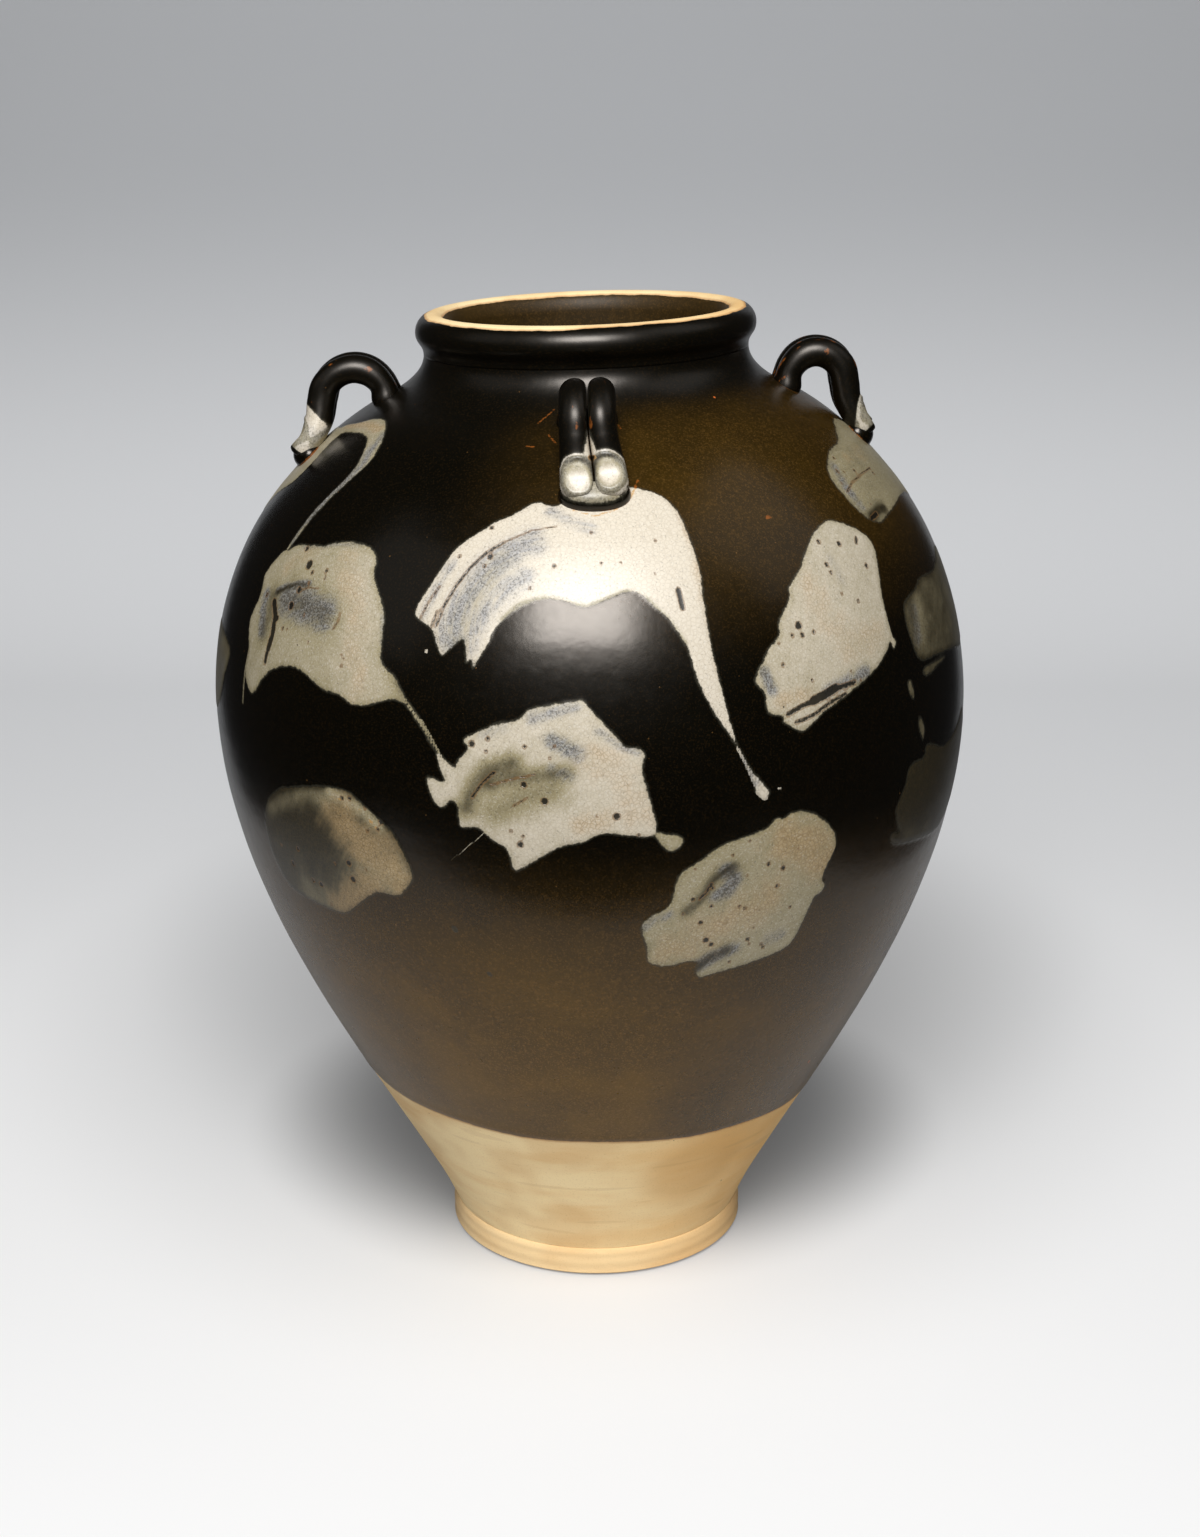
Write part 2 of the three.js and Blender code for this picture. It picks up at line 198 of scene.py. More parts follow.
def bare_clay_look(recipe):
    """Colour, roughness and relief of wiped, unglazed stoneware, toasted where the flame touched it."""
    wiping = recipe.cloud(16, 4, 3.1, (0.3, 0.3, 1.3))
    toast = recipe.step(recipe.cloud(38, 2, 8.4, (1, 1, 1.3)), 0.44, 0.64)
    grit = recipe.cloud(0.6, 2, 1.7)
    side, front, _ = recipe.axes(recipe.place)
    flame = recipe.step(side - front * 0.25, 16, 92) * (0.55 + wiping * 0.7)
    patch = {0: recipe.place, 1: TOASTED_PATCH}
    gap = recipe.node("VectorMath", {"operation": "DISTANCE"}, patch, output=1)
    flare = recipe.step(gap + (wiping - 0.5) * 30, 30, 14)
    iron_specks = recipe.step(recipe.dots(7, 0.2, 0.3, 2.2), 0, 0.12)
    finger = recipe.step(recipe.cloud(7, 1, 5.1, (0.16, 0.16, 1.5)), 0.66, 0.7)
    colour = recipe.layered(
        PALE_BUFF, (WARM_BUFF, recipe.step(wiping, 0.4, 0.75)), (TOAST, toast * 0.3),
        (FLAME, flame * 0.85), (FLARE, flare * 0.45), (GRIT, recipe.step(grit, 0.55, 0.75) * 0.3),
        (CLAY_IRON, iron_specks * 0.8), (FINGERED, finger * 0.15))
    relief = wiping * 0.14 + grit * 0.04 - iron_specks * 0.05 - finger * 0.02
    return colour, 0.74 + grit * 0.15, relief


def bare_clay():
    """The foot's finish: the same clay with painted shade, which makes it darker than the bare wall above
    it.
    """
    recipe = Recipe("bare_buff_clay")
    colour, roughness, relief = bare_clay_look(recipe)
    # Painted shade, laid evenly over the foot.
    colour = recipe.blend(colour, FOOT_PAINTED_SHADE, 0.45)
    bump = recipe.node("Bump", None, {"Height": relief, "Distance": MM, "Strength": 0.9}, "Normal")
    looks = {"Base Color": colour, "Roughness": roughness, "Normal": bump}
    for socket, value in looks.items():
        recipe.feed(recipe.surface.inputs[socket], value)
    return recipe.material


def placed(name, data):
    """A new object, put into the scene."""
    made = bpy.data.objects.new(name, data)
    bpy.context.scene.collection.objects.link(made)
    return made


class Shaping(Recipe):
    """A Geometry Nodes tree with named sizes. Arithmetic on its signals adds nodes, as in a finish."""

    def __init__(self, name, sizes):
        self.tree = bpy.data.node_groups.new(name, "GeometryNodeTree")
        for size in sizes:
            self.tree.interface.new_socket(size, in_out="INPUT", socket_type="NodeSocketFloat")
        self.tree.interface.new_socket("Material", in_out="INPUT", socket_type="NodeSocketMaterial")
        self.tree.interface.new_socket("Mesh", in_out="OUTPUT", socket_type="NodeSocketGeometry")
        self.given = self.tree.nodes.new("NodeGroupInput")
        self.values = sizes

    def size(self, name):
        return Signal(self, self.given.outputs[name])

    def result(self, geometry, material):
        """The tree's mesh, with its nodes joined up to the output, evaluated once."""
        whole = self.node("GeometryNodeRealizeInstances", None, {0: geometry})
        coated = self.node("GeometryNodeSetMaterial", None, {0: whole, "Material": self.size("Material")})
        ending = self.tree.nodes.new("NodeGroupOutput")
        self.feed(ending.inputs[0], coated)
        name = self.tree.name
        piece = placed(name, bpy.data.meshes.new(name + "_blank"))
        shaping = piece.modifiers.new(name, "NODES")
        shaping.node_group = self.tree
        for socket in self.tree.interface.items_tree:
            if socket.in_out == "INPUT":
                shaping[socket.identifier] = self.values.get(socket.name, material)
        evaluated = piece.evaluated_get(bpy.context.evaluated_depsgraph_get())
        mesh = bpy.data.meshes.new_from_object(evaluated)
        piece.modifiers.clear()
        piece.data = mesh
        return piece


def foot_disc():
    """A cylinder cut back at its foot, with finger marks round its band and wire marks under it."""
    disc = Shaping("foot_disc_clay", {
        "Foot radius": FOOT_RADIUS, "Standing radius": STANDING_RADIUS, "Height": FOOT_HEIGHT,
        "Bevel height": FOOT_BEVEL_HEIGHT, "Top round": FOOT_TOP_ROUND, "Inset": FOOT_INSET,
        "Sag height": FOOT_SAG_HEIGHT, "Sag": FOOT_SAG, "Finger depth": FINGER_MARK_DEPTH,
        "Wire spacing": WIRE_MARK_SPACING, "Wire depth": WIRE_MARK_DEPTH, "Wire margin": WIRE_MARK_MARGIN,
    })
    foot, standing, height = (disc.size(name) for name in ("Foot radius", "Standing radius", "Height"))
    steps = {"Vertices": 360, "Side Segments": 40, "Fill Segments": 48}
    blank = disc.node("GeometryNodeMeshCone", {"fill_type": "TRIANGLE_FAN"},
                      {**steps, "Radius Top": foot, "Radius Bottom": foot, "Depth": height})
    x, y, z = disc.axes(disc.node("GeometryNodeInputPosition"))
    out = disc.node("Math", {"operation": "SQRT"}, {0: x * x + y * y})
    bearing = disc.node("Math", {"operation": "ARCTAN2"}, {0: x, 1: y})
    bevel = disc.node("Clamp", None, {0: z / disc.size("Bevel height")})
    sag = disc.step(z, height - disc.size("Sag height"), height)
    rounding = disc.step(z, height - disc.size("Top round"), height) * disc.size("Top round")
    fingers = disc.sine(z * 1.15 + disc.sine(bearing * 2 + 1) * 0.8) * disc.size("Finger depth")
    wobble = (fingers - disc.size("Inset")) * bevel
    reach = standing + (foot - standing) * bevel + wobble - sag * sag * disc.size("Sag") - rounding
    pulled = disc.sine((x + y * y * 0.02) * (2 * math.pi) / disc.size("Wire spacing")) * 0.5 + 0.5
    under = (z < 0.001) * disc.step(out, foot, foot - disc.size("Wire margin"))
    wire = under * pulled * disc.size("Wire depth")
    moved = disc.node("CombineXYZ", None, {0: x * reach / foot, 1: y * reach / foot, 2: z + wire})
    cut = disc.node("GeometryNodeSetPosition", None, {0: blank, "Position": moved})
    piece = disc.result(cut, clay_finish)
    points = np.empty(len(piece.data.vertices) * 3, dtype=np.float32)
    piece.data.vertices.foreach_get("co", points)
    points = np.stack(fired(*points.reshape(-1, 3).T), axis=-1) * MM
    piece.data.vertices.foreach_set("co", points.ravel())
    piece.data.update()
    piece.data.shade_smooth()
    piece.data.set_sharp_from_angle(angle=math.radians(35))
    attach(piece, "root")
    return piece


clay_finish = bare_clay()
foot = foot_disc()
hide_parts("foot_disc")

# Pale splashes
# White and bluish slip flung on the wet glaze with a ladle. Each is an outline on the jar's face:
# the angle in degrees, nothing at the photographed side, and the height in millimetres.
WING = [
    (0, 345), (-5, 338), (-9, 339), (-13, 335), (-15.5, 333), (-20, 327), (-22, 322.6), (-24, 314),
    (-26, 303.5), (-25.4, 300.5), (-23.1, 298), (-22.3, 295.5), (-21, 289.5), (-20, 290.6),
    (-17.8, 295), (-17, 287.5), (-16.3, 288.6), (-16, 286), (-15.1, 289.5), (-14, 294), (-13, 300),
    (-10, 306), (-8, 308), (-5.5, 309.3), (-3, 308.4), (-0.8, 306.9), (1.2, 307.2), (3.6, 309.3),
    (6, 311), (7.9, 310.4), (10, 305.9), (12, 301.5), (14.2, 292), (15.3, 281), (17.6, 268.6),
    (19.7, 260), (20.5, 256), (21.6, 250), (22.8, 242), (23, 240), (24.3, 236.5), (24.9, 239.3),
    (24, 242.8), (22.2, 248.8), (20.8, 255.5), (20, 260.6), (18.9, 274), (17.8, 291), (17.6, 308.4),
    (17.8, 316.5), (17, 330), (15.2, 338), (10.8, 342),
]
LEFT_LEAF = [
    (-58, 314), (-55.5, 317), (-49, 318.8), (-46.5, 320.5), (-43, 322), (-38, 321.5), (-35.5, 317.4),
    (-35.2, 313.3), (-33, 307), (-31, 299.4), (-30.2, 285), (-27.7, 280), (-25.9, 274), (-25, 271.5),
    (-23.5, 267.3), (-22, 262), (-20.2, 255), (-20.6, 255), (-22.3, 261), (-23.9, 266.3),
    (-25.6, 270.6), (-27.5, 272), (-30, 270.3), (-31.6, 268.6), (-34.4, 267.7), (-36.7, 270),
    (-40.4, 271), (-44.5, 275), (-48.2, 275.5), (-52, 272), (-54, 268), (-57.2, 260), (-60, 266),
    (-60, 275), (-62, 285.5), (-61, 295.6), (-62, 304), (-59.5, 313),
]
MIDDLE_LEAF = [
    (-1.3, 276), (-0.4, 275.5), (0.5, 273), (3.8, 263.5), (5, 260), (7, 259), (7.5, 256.5), (7.3, 250),
    (8.8, 234), (8.7, 227), (5.2, 227.4), (1.8, 228.3), (-0.9, 225), (-4.2, 222.6), (-8.6, 215),
    (-10.2, 213.5), (-11.1, 221.3), (-13.2, 225), (-15.2, 229), (-17.4, 228.5), (-17.7, 236),
    (-18.7, 238), (-20, 235), (-21.3, 238), (-22.1, 244.5), (-21.6, 246), (-19.5, 245), (-20.2, 250),
    (-20.6, 255.5), (-19.1, 252.4), (-18, 250.3), (-17.6, 253), (-16.2, 257.6), (-16.8, 260.7),
    (-15.8, 262.6), (-14, 265), (-12, 267.4), (-9.4, 269), (-7.8, 272.6), (-5, 274.5),
]
MIDDLE_DROP = [
    (8.4, 228), (9.6, 227.9), (10.7, 227.3), (12.3, 226), (12.5, 223), (11.2, 220.6), (10.1, 222),
    (8.8, 226.6),
]
RIGHT_LEAF = [
    (46.3, 325.5), (50.1, 322.5), (53.1, 318.1), (53.6, 313.7), (52.6, 308.7), (50.7, 298),
    (50.4, 285.6), (51.1, 281.8), (50, 280.5), (49.7, 283), (48.6, 280.6), (46.2, 276.7), (43.7, 273.8),
    (40.5, 270.8), (36.6, 267.2), (34, 264.7), (31.6, 260.7), (30.2, 259.7), (28.7, 261.6),
    (27.3, 264.3), (27.4, 265.9), (25.3, 267.7), (25, 271.2), (24.9, 274.6), (23.6, 278.9),
    (24.1, 281.6), (26.2, 288.6), (28.5, 293.2), (28.8, 297.2), (31.6, 304.3), (32.1, 307.9),
    (34.9, 312.5), (37.2, 317.3), (40.3, 322.3), (43.8, 325.3),
]
LOW_RIGHT_LEAF = [
    (29.9, 230), (32.8, 227.1), (35.9, 219.5), (36.8, 213), (36, 207.3), (35.1, 200.7), (35.9, 196.9),
    (35.4, 194.3), (34.2, 192.4), (33.2, 184.8), (31.5, 173.8), (28, 170.4), (23, 168.1), (18.2, 166.1),
    (16.6, 165.6), (15.9, 168.6), (16, 172.2), (14.4, 173.4), (11.4, 172.2), (8.6, 174.3), (8.2, 180.2),
    (7.2, 190.6), (8.7, 194.8), (11, 198.5), (11.6, 204.2), (12.5, 211.3), (16.1, 217.6), (18.3, 221.3),
    (24.1, 225.1), (26, 228.6), (27.3, 228.4), (28.4, 229.7),
]
LOW_LEFT_LEAF = [
    (-50.4, 226.4), (-46.4, 230.1), (-43, 232.5), (-39.8, 234.4), (-35.7, 235.3), (-33.7, 233.4),
    (-30.1, 227.1), (-28, 222.8), (-26.6, 216.2), (-25.4, 207), (-26.2, 202.1), (-28.5, 196.3),
    (-31.8, 196.1), (-35.2, 190.6), (-38.7, 183.7), (-41.6, 181.6), (-48.3, 182.5), (-52.9, 184),
    (-55.2, 190.8), (-56.2, 201.5), (-54.7, 216.5),
]
UPPER_RIGHT_LEAF = [
    (80, 351), (73, 348.8), (66.8, 345.9), (59.6, 344.4), (53.6, 338.4), (54, 329.6), (55.9, 323.6),
    (59.5, 320.3), (63.4, 321.5), (74.3, 323.5), (82, 322.5), (90, 318), (97, 316.5), (101, 320),
    (102, 328), (98, 336), (94, 342), (87, 348.5),
]
RIGHT_EDGE_LEAF = [
    (71.8, 297.6), (64.4, 298.5), (61.1, 296.2), (56.5, 293.6), (55.2, 289.8), (55.1, 282.5),
    (56.9, 272.9), (63.7, 271.3), (72, 268.4), (79, 265), (87, 266.5), (94, 270.5), (97, 277),
    (97.5, 285), (94, 292), (89, 298), (82, 302), (77, 299.5),
]
RIGHT_EDGE_TAIL = [(66.3, 268.6), (59.8, 269.2), (57.1, 268.6), (58.2, 266.1), (62.2, 267.4)]
HIGH_DROP = [(52.6, 266.9), (52.2, 265.8), (52.6, 262.5), (53.5, 260.2), (53.6, 263.1), (53.1, 266.8)]
LONG_DROP = [(54.7, 252.4), (54.4, 249.4), (55.1, 245), (55.8, 242.9), (56, 247), (55.4, 250.6)]
LOW_EDGE_LEAF = [
    (57.2, 240), (56.1, 235.6), (52.2, 234.7), (51, 226.8), (49.3, 219.1), (50.5, 211.7), (51.4, 208.3),
    (49.2, 209.3), (49.4, 206), (51.8, 203.2), (58.9, 200), (66.7, 197.1), (73, 199), (79, 207),
    (82, 220), (80, 233), (76, 242), (71.4, 238), (64.1, 234.6),
]
HOOK = [
    (-86, 351), (-81, 353.5), (-75, 355.5), (-69.5, 358), (-64.5, 358.8), (-60, 358), (-56.6, 356),
    (-54, 353.5), (-52.4, 350.3), (-51.6, 346.8), (-53.2, 340.4), (-55, 333.4), (-56.6, 325),
    (-58, 314.5), (-58.6, 315.5), (-58, 322), (-57, 330.3), (-54.9, 340.5), (-55.2, 346), (-59.2, 352),
    (-65, 353.7), (-75, 352), (-78, 349.3), (-76, 341), (-77, 333), (-84, 325), (-90, 316), (-97, 311),
    (-104, 314), (-109, 322), (-108, 333), (-102, 343), (-94, 349),
]
LEFT_EDGE_LEAF = [
    (-68, 270), (-70, 258), (-73, 246), (-78, 240), (-84, 240.5), (-91, 244), (-95, 252), (-94, 262),
    (-89, 269), (-82, 274.5), (-75, 274),
]
BACK_WING = [
    (166, 341), (158, 337), (151, 329), (147, 318), (146, 305), (149, 297), (153, 300), (158, 307),
    (166, 311), (175, 308), (183, 311), (189, 305), (193, 293), (196, 279), (200, 266), (203, 258),
    (204.5, 262), (202, 274), (200, 291), (199.5, 310), (199, 325), (195, 336), (188, 341),
]
BACK_LEAF_HIGH = [
    (107.5, 291), (109, 301), (114, 309), (121, 314), (129, 315.5), (133, 313), (135, 306), (139, 300),
    (140.5, 291), (142, 282), (146, 275), (147, 271.5), (142, 272.5), (135, 271.5), (130, 266),
    (124, 264.5), (117, 268), (111, 274), (108, 282),
]
BACK_LEAF_LOW = [
    (114, 207), (117, 219), (122, 229), (130, 236), (139, 238), (147, 235), (152, 230), (154, 222),
    (157.5, 213), (158, 206), (152, 201), (148, 192), (143, 186.5), (136, 184), (128, 181.5),
    (121, 181), (117, 183), (119, 188), (115, 197),
]
BACK_LEAF_MIDDLE = [
    (163, 250), (167, 259), (173, 266), (181, 270.5), (187, 271), (190, 268), (192, 259), (197, 252),
    (200.5, 243), (203.5, 235), (205, 229), (201, 228), (194, 229), (188, 225), (183, 217),
    (178, 210.5), (175, 210), (174, 215), (168, 222), (163.5, 230), (162, 240),
]
BACK_LEAF_FAR = [
    (209, 300), (212, 309), (219, 316), (227, 319.5), (233, 318), (236, 314), (238, 306), (241.5, 302),
    (242, 295), (240, 284), (243, 276), (244, 272.5), (238, 273.5), (231, 268), (225, 261.5),
    (221.5, 260), (219.5, 263), (215, 272), (211, 280), (209, 290),
]
BACK_DROP = [(205.4, 252), (204.3, 248), (205.6, 243.5), (207.4, 245), (207.2, 250)]
BACK_LEAF_LOW_FAR = [
    (219, 214), (221, 226), (227, 235), (236, 240), (244, 239), (248, 234), (252, 227), (257.5, 219),
    (258, 213), (254, 205), (252.5, 197), (247, 193.5), (239, 191), (233, 186), (226, 184), (221, 185),
    (222.5, 190), (219, 199), (216.5, 206),
]

# Lower wall
# The lower half of the jar, thrown as a tapering bowl and set on the disc. The iron glaze was dipped
# and ran to a wavy line above the foot; below it the clay is bare and shows the potter's wiping.
BELLY_HEIGHT = 239.0
SHOULDER_TURN_HEIGHT = 327.3
NECK_ROOT_HEIGHT = 361.6
THROAT_HEIGHT = 378.8
BELLY_RADIUS = 153.2
SHOULDER_TURN_RADIUS = 123.0
NECK_ROOT_RADIUS = 81.5
THROAT_RADIUS = 64.6
# How far the lower wall starts inside the disc's edge
CREASE = 1.2
# The profile's slopes in degrees inwards from upright, and how far its curves' handles reach
FLARE_SLOPE = -25.5
SHOULDER_SLOPE = 40.5
ROOT_SLOPE = 63.5
FLARE_HANDLE = 66.0
BELLY_HANDLE_BELOW = 85.0
BELLY_HANDLE_ABOVE = 42.0
SHOULDER_HANDLE = 21.0
ROOT_HANDLE_BELOW = 16.0
ROOT_HANDLE_ABOVE = 7.0
THROAT_HANDLE = 8.0
WALL = 8.0
THROAT_WALL = 9.6
INNER_FOOT_RADIUS = 50.0
# How deep the bare clay lies under the jar's outside
SKIN = 0.62
FINE_RING_DEPTH = 0.008
BROAD_RING_DEPTH = 0.03
WALL_WOBBLE = 0.1
GLAZE_THICKNESS = 0.22
GLAZE_ROLL = 0.1
SLIP_THICKNESS = 0.2
SCORED_DEPTH = 0.12
GLAZE_EDGE_HEIGHT = 79.4
# The radius at which an angle round a ladle's throw counts as a length
THROW_RADIUS = 60.0
# How far from an edge a distance still counts, for coats and for thin strokes
FAR = 12.0
NEAR = 6.0
# How thin and brown, and how dull, the glaze is where the kiln's heat hardly reached it
INSIDE_BROWN = 0.3
INSIDE_MATT = 2.6
NECK_MATT = 0.7
# Rows of points on the lower wall, as a height and how far apart they stand there
LOWER_ROWS = [(13, 2.6), (68, 2.6), (73, 1.4), (90, 1.4), (95, 3.0), (150, 3.0), (157, 1.1), (240, 1.1)]
UPPER_ROW_SPACING = 1.1
NECK_ROW_SPACING = 0.9
COLUMNS = 600

# The angle round the jar: nothing at the photographed side, growing towards its right. The columns
# stand closer together there, where the splashes were read from the photograph.
turn = np.linspace(-np.pi, np.pi, COLUMNS, endpoint=False)
turn = turn - 0.42 * np.sin(turn)


def ramp(value, low, high):
    """A soft step from nothing at low to one at high."""
    u = np.clip((value - low) / (high - low), 0, 1)
    return u * u * (3 - 2 * u)


def on_wheel(radius, height):
    """Points of a turned surface, one row for each height, fired out of true."""
    radius, height = np.broadcast_arrays(radius, height, np.empty((len(height), COLUMNS)))[:2]
    return np.stack(fired(radius * np.sin(turn), -radius * np.cos(turn), height), axis=-1)


def surface_normals(points):
    """Unit normals of a grid of points that closes on itself along its columns."""
    across = np.roll(points, -1, axis=1) - np.roll(points, 1, axis=1)
    up = np.gradient(points, axis=0)
    normals = np.cross(across, up)
    return normals / np.maximum(np.linalg.norm(normals, axis=-1, keepdims=True), 1e-9)


def finish_mesh(name, points, faces, material, marks=None, corner_normals=None):
    """One piece of the jar as a mesh object: points in millimetres, marks as named values on them."""
    mesh = bpy.data.meshes.new(name)
    mesh.from_pydata((np.asarray(points) * MM).tolist(), [], faces)
    mesh.update()
    mesh.shade_smooth()
    for mark, values in (marks or {}).items():
        layer = mesh.attributes.new(mark, "FLOAT", "POINT")
        layer.data.foreach_set("value", np.ascontiguousarray(values, dtype=np.float32).ravel())
    if corner_normals is not None:
        mesh.normals_split_custom_set(corner_normals.tolist())
    mesh.materials.append(material)
    piece = placed(name, mesh)
    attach(piece, "root")
    return piece


def bands(ring):
    """Faces between each row of points and the next, closed round the columns."""
    beside = np.roll(ring, -1, axis=1)
    return np.stack([ring[:-1], beside[:-1], beside[1:], ring[1:]], axis=-1).reshape(-1, 4)


def wheel_faces(rows):
    """Faces of a turned piece whose last row of points joins its first."""
    ring = np.arange(rows * COLUMNS).reshape(rows, COLUMNS)
    return bands(np.concatenate([ring, ring[:1]]))


def lengths(line):
    """How far along a line each of its points lies."""
    return np.append(0, np.cumsum(np.linalg.norm(np.diff(line, axis=0), axis=1)))


def points_at(line, measure, wanted):
    """The points of a line where a measure along it has the wanted values."""
    return np.stack([np.interp(wanted, measure, line[:, i]) for i in (0, 1)], axis=1)


def through(before, start, end, beyond, t):
    """Points of a smooth curve from start to end, with its neighbours before and beyond them."""
    return 0.5 * (2 * start + (end - before) * t + (2 * before - 5 * start + 4 * end - beyond) * t ** 2
                  + (3 * start - before - 3 * end + beyond) * t ** 3)


def heading(degrees):
    """The direction along the profile: straight up at nothing, inwards as the angle grows."""
    return np.array([-math.sin(math.radians(degrees)), math.cos(math.radians(degrees))])


def bezier(start, first, second, end, spacing):
    """Points along a curve with two handles, as radius and height. The spacing may vary with height."""
    t = np.linspace(0, 1, 500)[:, None]
    rest = 1 - t
    curve = rest ** 3 * start + 3 * rest ** 2 * t * first + 3 * rest * t ** 2 * second + t ** 3 * end
    steps = np.linalg.norm(np.diff(curve, axis=0), axis=1)
    if not np.isscalar(spacing):
        heights, gaps = zip(*spacing)
        spacing = np.interp(curve[1:, 1], heights, gaps)
    counted = np.append(0, np.cumsum(steps / spacing))
    wanted = np.linspace(0, counted[-1], max(4, round(counted[-1]) + 1))
    return points_at(curve, counted, wanted)


def profile_parts():
    """The outside of the lower wall, the shoulder wall and the neck, each from its foot up."""
    crease = np.array([FOOT_RADIUS - CREASE, FOOT_HEIGHT])
    belly = np.array([BELLY_RADIUS, BELLY_HEIGHT])
    turning = np.array([SHOULDER_TURN_RADIUS, SHOULDER_TURN_HEIGHT])
    root = np.array([NECK_ROOT_RADIUS, NECK_ROOT_HEIGHT])
    throat = np.array([THROAT_RADIUS, THROAT_HEIGHT])
    up = heading(0)
    flare = heading(FLARE_SLOPE) * FLARE_HANDLE
    roll = heading(SHOULDER_SLOPE) * SHOULDER_HANDLE
    brim = heading(ROOT_SLOPE)
    lower = bezier(crease, crease + flare, belly - up * BELLY_HANDLE_BELOW, belly, LOWER_ROWS)
    upper = bezier(belly, belly + up * BELLY_HANDLE_ABOVE, turning - roll, turning, UPPER_ROW_SPACING)
    below_root, above_root = root - brim * ROOT_HANDLE_BELOW, root + brim * ROOT_HANDLE_ABOVE
    shoulder = bezier(turning, turning + roll, below_root, root, UPPER_ROW_SPACING)
    neck = bezier(root, above_root, throat - up * THROAT_HANDLE, throat, NECK_ROW_SPACING)
    return lower, np.concatenate([upper, shoulder[1:]]), neck


lower_line, shoulder_line, neck_line = profile_parts()
outer_line = np.concatenate([lower_line, shoulder_line[1:], neck_line[1:]])


def directions(line):
    """Unit directions along a line of points."""
    along = np.gradient(line, axis=0)
    return along / np.linalg.norm(along, axis=1, keepdims=True)


def outwards(line):
    """Unit directions off a profile, away from the jar's inside."""
    along = directions(line)
    return np.stack([along[:, 1], -along[:, 0]], axis=1)


def wheel_relief(heights):
    """How far the bare turned wall stands off its true profile: throwing rings and a slight wobble."""
    rings = FINE_RING_DEPTH * np.sin(heights * 0.62 + 1.2 * np.sin(turn + 1))
    rings = rings + BROAD_RING_DEPTH * np.sin(heights * 0.2 + 2 * turn)
    wobble = WALL_WOBBLE * np.sin(2 * turn + 0.6) * ramp(heights, 40, 140)
    return rings * ramp(heights, 60, 110) * ramp(heights, RIM_HEIGHT, 350) + wobble


def rounded(corners):
    """A closed outline with a smooth curve through its corners."""
    p = np.array(corners, dtype=float)
    before, after, beyond = np.roll(p, 1, axis=0), np.roll(p, -1, axis=0), np.roll(p, -2, axis=0)
    curve = through(before, p, after, beyond, np.linspace(0, 1, 6, endpoint=False)[:, None, None])
    return curve.transpose(1, 0, 2).reshape(-1, 2)


def from_line(x, y, ax, ay, bx, by):
    """Distances of points from a straight piece of line."""
    dx, dy = bx - ax, by - ay
    t = np.clip(((x - ax) * dx + (y - ay) * dy) / (dx * dx + dy * dy + 1e-9), 0, 1)
    return np.hypot(x - ax - t * dx, y - ay - t * dy)


def gap_to(corners, x, y, radius):
    """Distances of points from the line through the corners."""
    gap = np.full(x.shape, np.inf)
    for (a, ay), (b, by) in zip(corners[:-1], corners[1:]):
        gap = np.minimum(gap, from_line(x, y, a * radius, ay, b * radius, by))
    return gap


class WheelSkin:
    """Marks on a stretch of turned wall, in millimetres along it: how far inside a splash, and so on."""

    def __init__(self, line):
        self.radius = line[:, 0]
        self.height = line[:, 1]
        self.along = lengths(line)
        self.shape = (len(line), COLUMNS)

    def spread(self, shape, middle, margin):
        """Where the wall's points lie about an azimuth, in millimetres, and where the shape's do."""
        shape = np.array(shape, dtype=float)
        radius_at = np.interp(shape[:, 1], self.height, self.radius)
        along = np.interp(shape[:, 1], self.height, self.along)
        rows = np.flatnonzero((self.along > along.min() - margin) & (self.along < along.max() + margin))
        gap = (np.degrees(turn) - middle + 180) % 360 - 180
        reach = np.abs(shape[:, 0] - middle).max() + np.degrees(margin / radius_at.min())
        columns = np.flatnonzero(np.abs(gap) < reach)
        x = np.radians(gap[columns]) * self.radius[rows][:, None]
        y = np.broadcast_to(self.along[rows][:, None], x.shape)
        corners = np.stack([np.radians(shape[:, 0] - middle), along], axis=1)
        return np.ix_(rows, columns), x, y, corners, self.radius[rows][:, None]

    def splash(self, outline):
        """Signed distance to an outline, positive inside it."""
        shape = rounded(outline)
        middle = (shape[:, 0].max() + shape[:, 0].min()) / 2
        where, x, y, corners, radius = self.spread(shape, middle, FAR)
        closed = np.concatenate([corners, corners[:1]])
        nearest = np.minimum(gap_to(closed, x, y, radius), FAR)
        inside = np.zeros(x.shape, dtype=bool)
        for (a, ay), (b, by) in zip(closed[:-1], closed[1:]):
            ax, bx = a * radius, b * radius
            crossing = (ay > y) != (by > y)
            inside ^= crossing & (x < ax + (bx - ax) * (y - ay) / (by - ay if by != ay else 1e-9))
        field = np.full(self.shape, -FAR)
        field[where] = np.where(inside, nearest, -nearest)
        return field

    def stroke(self, line, half_width):
        """Distance to a drawn line with round ends, positive on it."""
        line = np.array(line, dtype=float)
        where, x, y, corners, radius = self.spread(line, line[:, 0].mean(), NEAR)
        nearest = np.minimum(gap_to(corners, x, y, radius), NEAR)
        field = np.full(self.shape, -NEAR)
        field[where] = np.maximum((half_width ** 2 - nearest ** 2) / (2 * half_width), -NEAR)
        return field

    def smear(self, line, half_width):
        """A soft smear along a line, one on it and fading to nothing."""
        line = np.array(line, dtype=float)
        fades_at = 2.6 * half_width
        where, x, y, corners, radius = self.spread(line, line[:, 0].mean(), fades_at)
        nearest = np.minimum(gap_to(corners, x, y, radius), fades_at)
        field = np.zeros(self.shape)
        field[where] = np.exp(-(nearest / half_width) ** 2)
        return field

    def sweep(self, centre):
        """How far round and how far out each point lies on the arcs that a ladle's throw drew."""
        gap = np.radians((np.degrees(turn) - centre[0] + 180) % 360 - 180) * self.radius[:, None]
        up = (self.along - np.interp(centre[1], self.height, self.along))[:, None]
        out = np.hypot(gap, up)
        return np.arctan2(up, gap) * THROW_RADIUS, out


